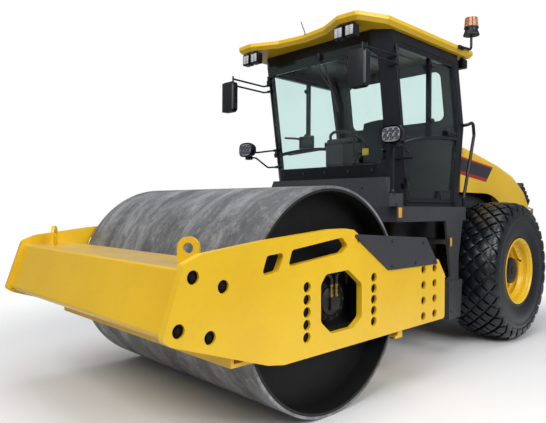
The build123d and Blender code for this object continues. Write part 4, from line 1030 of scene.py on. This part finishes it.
def interior():
    """Seat, side consoles, dashboard with its display, floor mat and lever knob."""
    bm = bmesh.new()
    slab(bm, 0, 0.205, (1.62, 1.397), (2.03, 1.47), 0.02)
    for k in range(5):
        h = 1.475 + 0.040 * k
        grow = 0.012 if k % 2 else 0.0
        slab(bm, 0, 0.17 + grow, (1.66 - grow, h), (1.99 + grow, h + 0.041), 0.012)
    slab(bm, 0, 0.225, (1.59, 1.672), (2.04, 1.715), 0.02)
    slab(bm, 0, 0.19, (2.125, 1.80), (2.138, 2.29), 0.006)
    for x in (-0.235, 0.235):
        slab(bm, x, 0.012, (1.98, 1.70), (2.10, 1.95), 0.008)
    finish_object("seat_base", bm, PLASTIC, "rear", ["seat"])
    pads = []
    for name, low, high in (
        ("seat_cushion", (-0.245, 1.575, 1.712), (0.245, 2.045, 1.833)),
        ("seat_back", (-0.238, 2.024, 1.800), (0.238, 2.128, 2.330)),
    ):
        bm = bmesh.new()
        cushion(bm, at(*low), at(*high))
        pads.append(finish_object(name, bm, SEAT_CLOTH, "rear", sharp=60))
    bm = bmesh.new()
    for s in (-1, 1):
        cushion(bm, at(s * 0.285 - 0.035, 1.70, 1.935), at(s * 0.285 + 0.035, 2.00, 1.985))
        tube(bm, [at(s * 0.285, 1.97, 1.95), at(s * 0.275, 2.06, 1.93), at(s * 0.245, 2.08, 1.90)], 0.014, 10)
    finish_object("seat_arms", bm, PLASTIC, "rear")
    bm = bmesh.new()
    slab(bm, 0.31, 0.11, (1.60, 1.397), (1.98, 1.70), 0.03)
    slab(bm, -0.32, 0.10, (1.70, 1.397), (2.05, 1.66), 0.03)
    knob = [(-0.030, 0.0), (-0.026, 0.018), (0.0, 0.024), (0.030, 0.020), (0.040, 0.010), (0.042, 0)]
    for x, y in ((0.30, 1.66), (-0.30, 1.76)):
        tube(bm, [at(x, y, 1.66), at(x, y - 0.015, 1.78)], 0.010, 10)
        lathe(bm, knob, at(x, y - 0.015, 1.81), 20, "Z")
    finish_object("side_consoles", bm, PLASTIC, "rear")
    bm = bmesh.new()
    slab(bm, 0, 0.155, (1.35, 2.005), (1.47, 2.06), 0.02)
    slab(bm, -0.395, 0.095, (1.30, 1.985), (1.335, 2.115), 0.012)
    tube(bm, [at(-0.40, 1.325, 2.05), at(-0.52, 1.33, 2.10), at(-0.75, 1.36, 2.13)], 0.011, 10)
    tube(bm, [at(0.15, 1.44, 1.90), at(0.30, 1.36, 1.90), at(0.375, 1.30, 1.90)], 0.012, 10)
    finish_object("dash_and_display", bm, PLASTIC, "rear")
    bm = bmesh.new()
    slab(bm, -0.395, 0.085, (1.3350, 1.995), (1.3380, 2.105), 0.0008)
    finish_object("display_face", bm, GREY_PLASTIC, "rear")
    bm = bmesh.new()
    slab(bm, 0, 0.70, (1.23, 1.396), (2.14, 1.404), 0.003)
    for k in range(22):
        slab(bm, -0.66 + 0.0628 * k, 0.006, (1.26, 1.403), (2.10, 1.407), 0.0015)
    finish_object("floor_mat", bm, SEAL, "rear")
    bm = bmesh.new()
    chamfer_box(bm, at(0.345, 1.275, 1.865), at(0.410, 1.292, 1.930), 0.005)
    finish_object("lever_knob", bm, YELLOW, "rear")
    return pads


def cushion(bm, low, high):
    """A soft pad: a rounded box crowned on its broad faces."""
    part = bmesh.new()
    bmesh.ops.create_cube(part, size=1.0)
    bmesh.ops.subdivide_edges(part, edges=part.edges[:], cuts=9, use_grid_fill=True)
    size, middle = high - low, (high + low) / 2
    for v in part.verts:
        p = Vector((v.co.x * 2, v.co.y * 2, v.co.z * 2))
        q = p.copy()
        for i in range(3):
            j, k = (i + 1) % 3, (i + 2) % 3
            q[i] = p[i] * math.sqrt(1 - 0.16 * p[j] ** 2 - 0.16 * p[k] ** 2 + 0.05 * (p[j] * p[k]) ** 2)
        v.co = Vector((q.x * size.x / 2, q.y * size.y / 2, q.z * size.z / 2)) + middle
    join(bm, part)


PADS = interior()

# Reflectors, steps, deck and hood parts


def deck_parts():
    """Side reflectors, step treads and the bolts of the deck and steps."""
    bm = bmesh.new()
    for sign in (-1, 1):
        slab(bm, sign * 0.8585, 0.003, (1.100, 1.300), (1.150, 1.385), 0.003)
        slab(bm, sign * 0.8705, 0.003, (1.955, 1.02), (1.985, 1.10), 0.003)
    finish_object("side_reflectors", bm, REFLECTOR, "rear")
    bm = bmesh.new()
    for sign in (-1, 1):
        for z0, y0, y1, x0, x1 in ((0.690, 1.97, 2.15, 0.44, 0.83), (1.075, 1.93, 2.10, 0.44, 0.82)):
            for k in range(7):
                y = y0 + (y1 - y0) * (k + 0.5) / 7
                low = at(min(sign * x0, sign * x1), y - 0.004, z0)
                chamfer_box(bm, low, low + Vector((x1 - x0, 0.008, 0.006)), 0.002)
        for x, y, z, size, height in (
            (0.858, 1.080, 1.410, 0.014, 0.007), (0.858, 1.165, 1.345, 0.012, 0.006),
            (0.870, 1.985, 0.40, 0.020, 0.009), (0.870, 2.11, 0.40, 0.020, 0.009),
            (0.870, 1.985, 0.62, 0.020, 0.009), (0.870, 2.15, 0.62, 0.020, 0.009),
        ):
            bolt(bm, at(sign * x, y, z), (sign, 0, 0), size, height)
    finish_object("deck_bolts_and_treads", bm, DARK, "rear")


deck_parts()


def hood_y_top(y):
    """Height of the hood's top, y from the drum's axis."""
    line = [
        (2.45, 2.050), (2.70, 2.015), (2.886, 1.983), (3.407, 1.889), (3.80, 1.788), (3.995, 1.690),
        (4.262, 1.368),
    ]
    for (y0, z0), (y1, z1) in zip(line, line[1:]):
        if y <= y1:
            return z0 + (z1 - z0) * (y - y0) / (y1 - y0)
    return line[-1][1]


def hood_parts():
    """Air slots and handles on the hood, and the strip at its front."""
    bm = bmesh.new()
    for k in range(9):
        y = 3.02 + 0.055 * k
        z = hood_y_top(y)
        slab(bm, 0, 0.36, (y - 0.010, z + 0.0005), (y + 0.010, z + 0.0065), 0.003)
    finish_object("hood_air_slots", bm, SEAL, "bonnet")
    bm = bmesh.new()
    handle = ((3.62, -0.004), (3.62, 0.045), (3.78, 0.045), (3.78, -0.004))
    for x in (-0.30, 0.30):
        tube(bm, [at(x, y, hood_y_top(y) + lift) for y, lift in handle], 0.009, 12, bend=0.03)
    slab(bm, 0, 0.70, (2.4455, 1.60), (2.4515, 1.615), 0.002)
    finish_object("hood_handles", bm, BLACK, "bonnet")


hood_parts()


def slope_matrix(run, place):
    """Lays a box on a slope: its y goes down the run and its z out of it, at a place in y and z."""
    down = run.normalized()
    return Matrix((
        (1, 0, 0, 0), (0, down.x, -down.y, DRUM_Y + place.x), (0, down.y, down.x, place.y), (0, 0, 0, 1),
    ))


def rear_parts():
    """Bars and louvres of the rear grille, lamp housings, tow pin and bumper bolts."""
    top, bend, foot = Vector((4.042, 1.680)), Vector((4.347, 1.380)), Vector((4.385, 1.085))
    upper, lower = bend - top, foot - bend
    bm = bmesh.new()
    for k in range(17):
        matrix = slope_matrix(upper, top + upper * (k + 0.5) / 17)
        chamfer_box(bm, (-0.50, -0.004, 0.001), (0.50, 0.004, 0.010), 0.002, matrix=matrix)
    for k in range(14):
        matrix = slope_matrix(lower, bend + lower * (k + 0.7) / 15)
        chamfer_box(bm, (-0.50, -0.004, -0.002), (0.50, 0.004, 0.008), 0.002, matrix=matrix)
    finish_object("grille_bars", bm, SEAL, "bonnet")
    bm = bmesh.new()
    for share in (0.24, 0.40, 0.56, 0.72, 0.88):
        matrix = slope_matrix(upper, bend - upper * share)
        chamfer_box(bm, (-0.706, -0.028, -0.052), (0.706, 0.024, 0.062), 0.016, matrix=matrix)
    finish_object("grille_louvres", bm, BLACK, "bonnet")
    bm = bmesh.new()
    for sign in (-1, 1):
        slab(bm, sign * 0.652, 0.054, (4.262, 1.262), (4.352, 1.396), 0.012)
        slab(bm, sign * 0.700, 0.032, (4.266, 1.275), (4.366, 1.383), 0.014)
    finish_object("tail_lamp_housings", bm, ZINC, "bonnet", sharp=40)
    bm = bmesh.new()
    tube(bm, [at(0, 4.455, 0.69), at(0, 4.455, 1.075)], 0.0155, 20)
    tube(bm, [at(-0.03, 4.455, 1.06), at(0.03, 4.455, 1.06)], 0.006, 10)
    lathe(bm, [(0.0, 0.024), (0.010, 0.024), (0.012, 0.020), (0.012, 0.0)], at(0, 4.455, 1.041), 24, "Z")
    finish_object("tow_pin", bm, ZINC, "rear")
    bm = bmesh.new()
    for x in (-0.52, -0.28, 0.28, 0.52):
        for z in (0.74, 0.94):
            bolt(bm, at(x, 4.500, z), (0, 1, 0), 0.030, 0.014)
    finish_object("bumper_bolts", bm, BOLT, "rear")


rear_parts()


def beacon_parts():
    """Ribs of the beacon's lens and the collar under it."""
    spot = at(0.874, 2.350, 0)
    bm = bmesh.new()
    for k in range(30):
        a = 2 * math.pi * k / 30
        out = Vector((math.cos(a), math.sin(a), 0))
        foot = spot + out * 0.0655 + Vector((0, 0, 3.186))
        tube(bm, [foot, spot + out * 0.0600 + Vector((0, 0, 3.262))], 0.0022, 6)
    lathe(bm, [(3.272, 0.058), (3.2775, 0.050), (3.2800, 0.030), (3.2805, 0.0)], spot, 40, "Z")
    finish_object("beacon_ribs", bm, AMBER, "rear")
    bm = bmesh.new()
    lathe(bm, [(3.172, 0.064), (3.172, 0.070), (3.184, 0.070), (3.188, 0.0665)], spot, 48, "Z")
    lathe(bm, [(3.098, 0.0), (3.098, 0.030), (3.104, 0.078), (3.112, 0.0785)], spot, 48, "Z")
    finish_object("beacon_collar", bm, PLASTIC, "rear")


beacon_parts()


def joint_hoses():
    """Short hoses and their fittings at the centre joint, all on the rear frame."""
    fitting = [(0.0, 0.017), (0.030, 0.017), (0.032, 0.012), (0.050, 0.012), (0.050, 0.0)]
    fittings, hoses = bmesh.new(), bmesh.new()
    for k, x in enumerate((-0.12, -0.06, 0.0, 0.06, 0.12)):
        lathe(fittings, fitting, at(x, 1.954, 1.02), 16, "Y", -1)
        tube(hoses, [
            at(x, 1.91, 1.02), at(x, 1.82, 1.02), at(x * 1.1, 1.72, 0.985 - 0.01 * (k % 2)),
            at(x * 1.2, 1.66, 0.93), at(x * 1.2, 1.66, 0.895),
        ], 0.013, 12, bend=0.06)
    finish_object("bulkhead_fittings", fittings, ZINC, "rear")
    finish_object("joint_hoses", hoses, HOSE, "rear")


joint_hoses()

# Floor, light and camera


def floor_material():
    """Pale near the machine, thinning out to nothing round it."""
    m = Mat("floor_white")
    m.set(Base__Color=(0.80, 0.80, 0.81), Roughness=0.95, Specular__IOR__Level=0.05)
    length = m.node("ShaderNodeVectorMath", _operation="LENGTH")
    m.link(m.coord, length.inputs[0])
    fade = m.node("ShaderNodeMapRange", Value=length.outputs["Value"], From__Min=2.9, From__Max=5.2)
    fade.interpolation_type = "SMOOTHSTEP"
    clear = m.node("ShaderNodeBsdfTransparent")
    surface = m.mix_shader(fade.outputs["Result"], m.bsdf.outputs[0], clear.outputs[0])
    m.link(surface, m.tree.nodes["Material Output"].inputs["Surface"])
    return m.mat


def surroundings():
    """A faint sky for the light, white to the camera, also through one pane of glass."""
    world = bpy.data.worlds.new("studio")
    bpy.context.scene.world = world
    world.use_nodes = True
    sky = Tree(world.node_tree)
    light = sky.tree.nodes["Background"]
    sky.feed(light.inputs["Color"], (0.93, 0.96, 1.0))
    sky.feed(light.inputs["Strength"], 0.30)
    seen = sky.node("ShaderNodeBackground", Color=(1, 1, 1), Strength=1.0)
    path = sky.node("ShaderNodeLightPath").outputs
    first = sky.math("LESS_THAN", path["Diffuse Depth"], 0.5)
    through = sky.math("MULTIPLY", path["Is Transmission Ray"], first)
    pick = sky.math("MAXIMUM", path["Is Camera Ray"], through)
    mix = sky.mix_shader(pick, light.outputs[0], seen.outputs[0])
    sky.link(mix, sky.tree.nodes["World Output"].inputs["Surface"])


def stage():
    """A pale floor that fades out, the sky, and soft lamps round the machine."""
    mesh = bpy.data.meshes.new("floor")
    s = 7
    mesh.from_pydata([(-s, -s, 0), (s, -s, 0), (s, s, 0), (-s, s, 0)], [], [(0, 1, 2, 3)])
    floor = bpy.data.objects.new("floor", mesh)
    bpy.context.collection.objects.link(floor)
    mesh.materials.append(floor_material())
    surroundings()

    def lamp(name, place, target, size, power):
        data = bpy.data.lights.new(name, "AREA")
        data.shape = "RECTANGLE"
        data.size, data.size_y = size
        data.energy = power
        obj = bpy.data.objects.new(name, data)
        bpy.context.collection.objects.link(obj)
        obj.location = place
        obj.rotation_euler = (Vector(target) - Vector(place)).to_track_quat("-Z", "Y").to_euler()

    lamp("key", (2.5, -8.5, 7.5), (0, -0.5, 1.0), (6, 4), 560)
    lamp("right", (9.0, -1.0, 6.0), (0, 0, 1.2), (6, 5), 540)
    lamp("top", (0, 0, 9.0), (0, 0, 0), (9, 9), 430)


def camera():
    """The camera worked out from the photograph: place, turn, focal length in pixels, middle of view."""
    width = 546
    height = 423
    focal = 535.40
    middle = (275.84, 204.47)
    right = Vector((0.693868, 0.7200723, 0.0065661))
    up = Vector((-0.0024596, -0.0067483, 0.9999742))
    ahead = Vector((-0.720098, 0.6938663, 0.0029114))
    data = bpy.data.cameras.new("camera")
    data.sensor_fit = "HORIZONTAL"
    data.sensor_width = 36
    data.lens = 36 * focal / width
    data.shift_x = -(middle[0] - width / 2) / width
    data.shift_y = (middle[1] - height / 2) / width
    data.clip_end = 200
    obj = bpy.data.objects.new("camera", data)
    bpy.context.collection.objects.link(obj)
    rotation = Matrix((right, up, -ahead)).transposed().to_4x4()
    rotation.translation = (3.3693592, -2.7448023 + DRUM_Y, 1.3911868)
    obj.matrix_world = rotation
    bpy.context.scene.camera = obj


stage()
camera()

bpy.context.scene.view_settings.view_transform = "Standard"
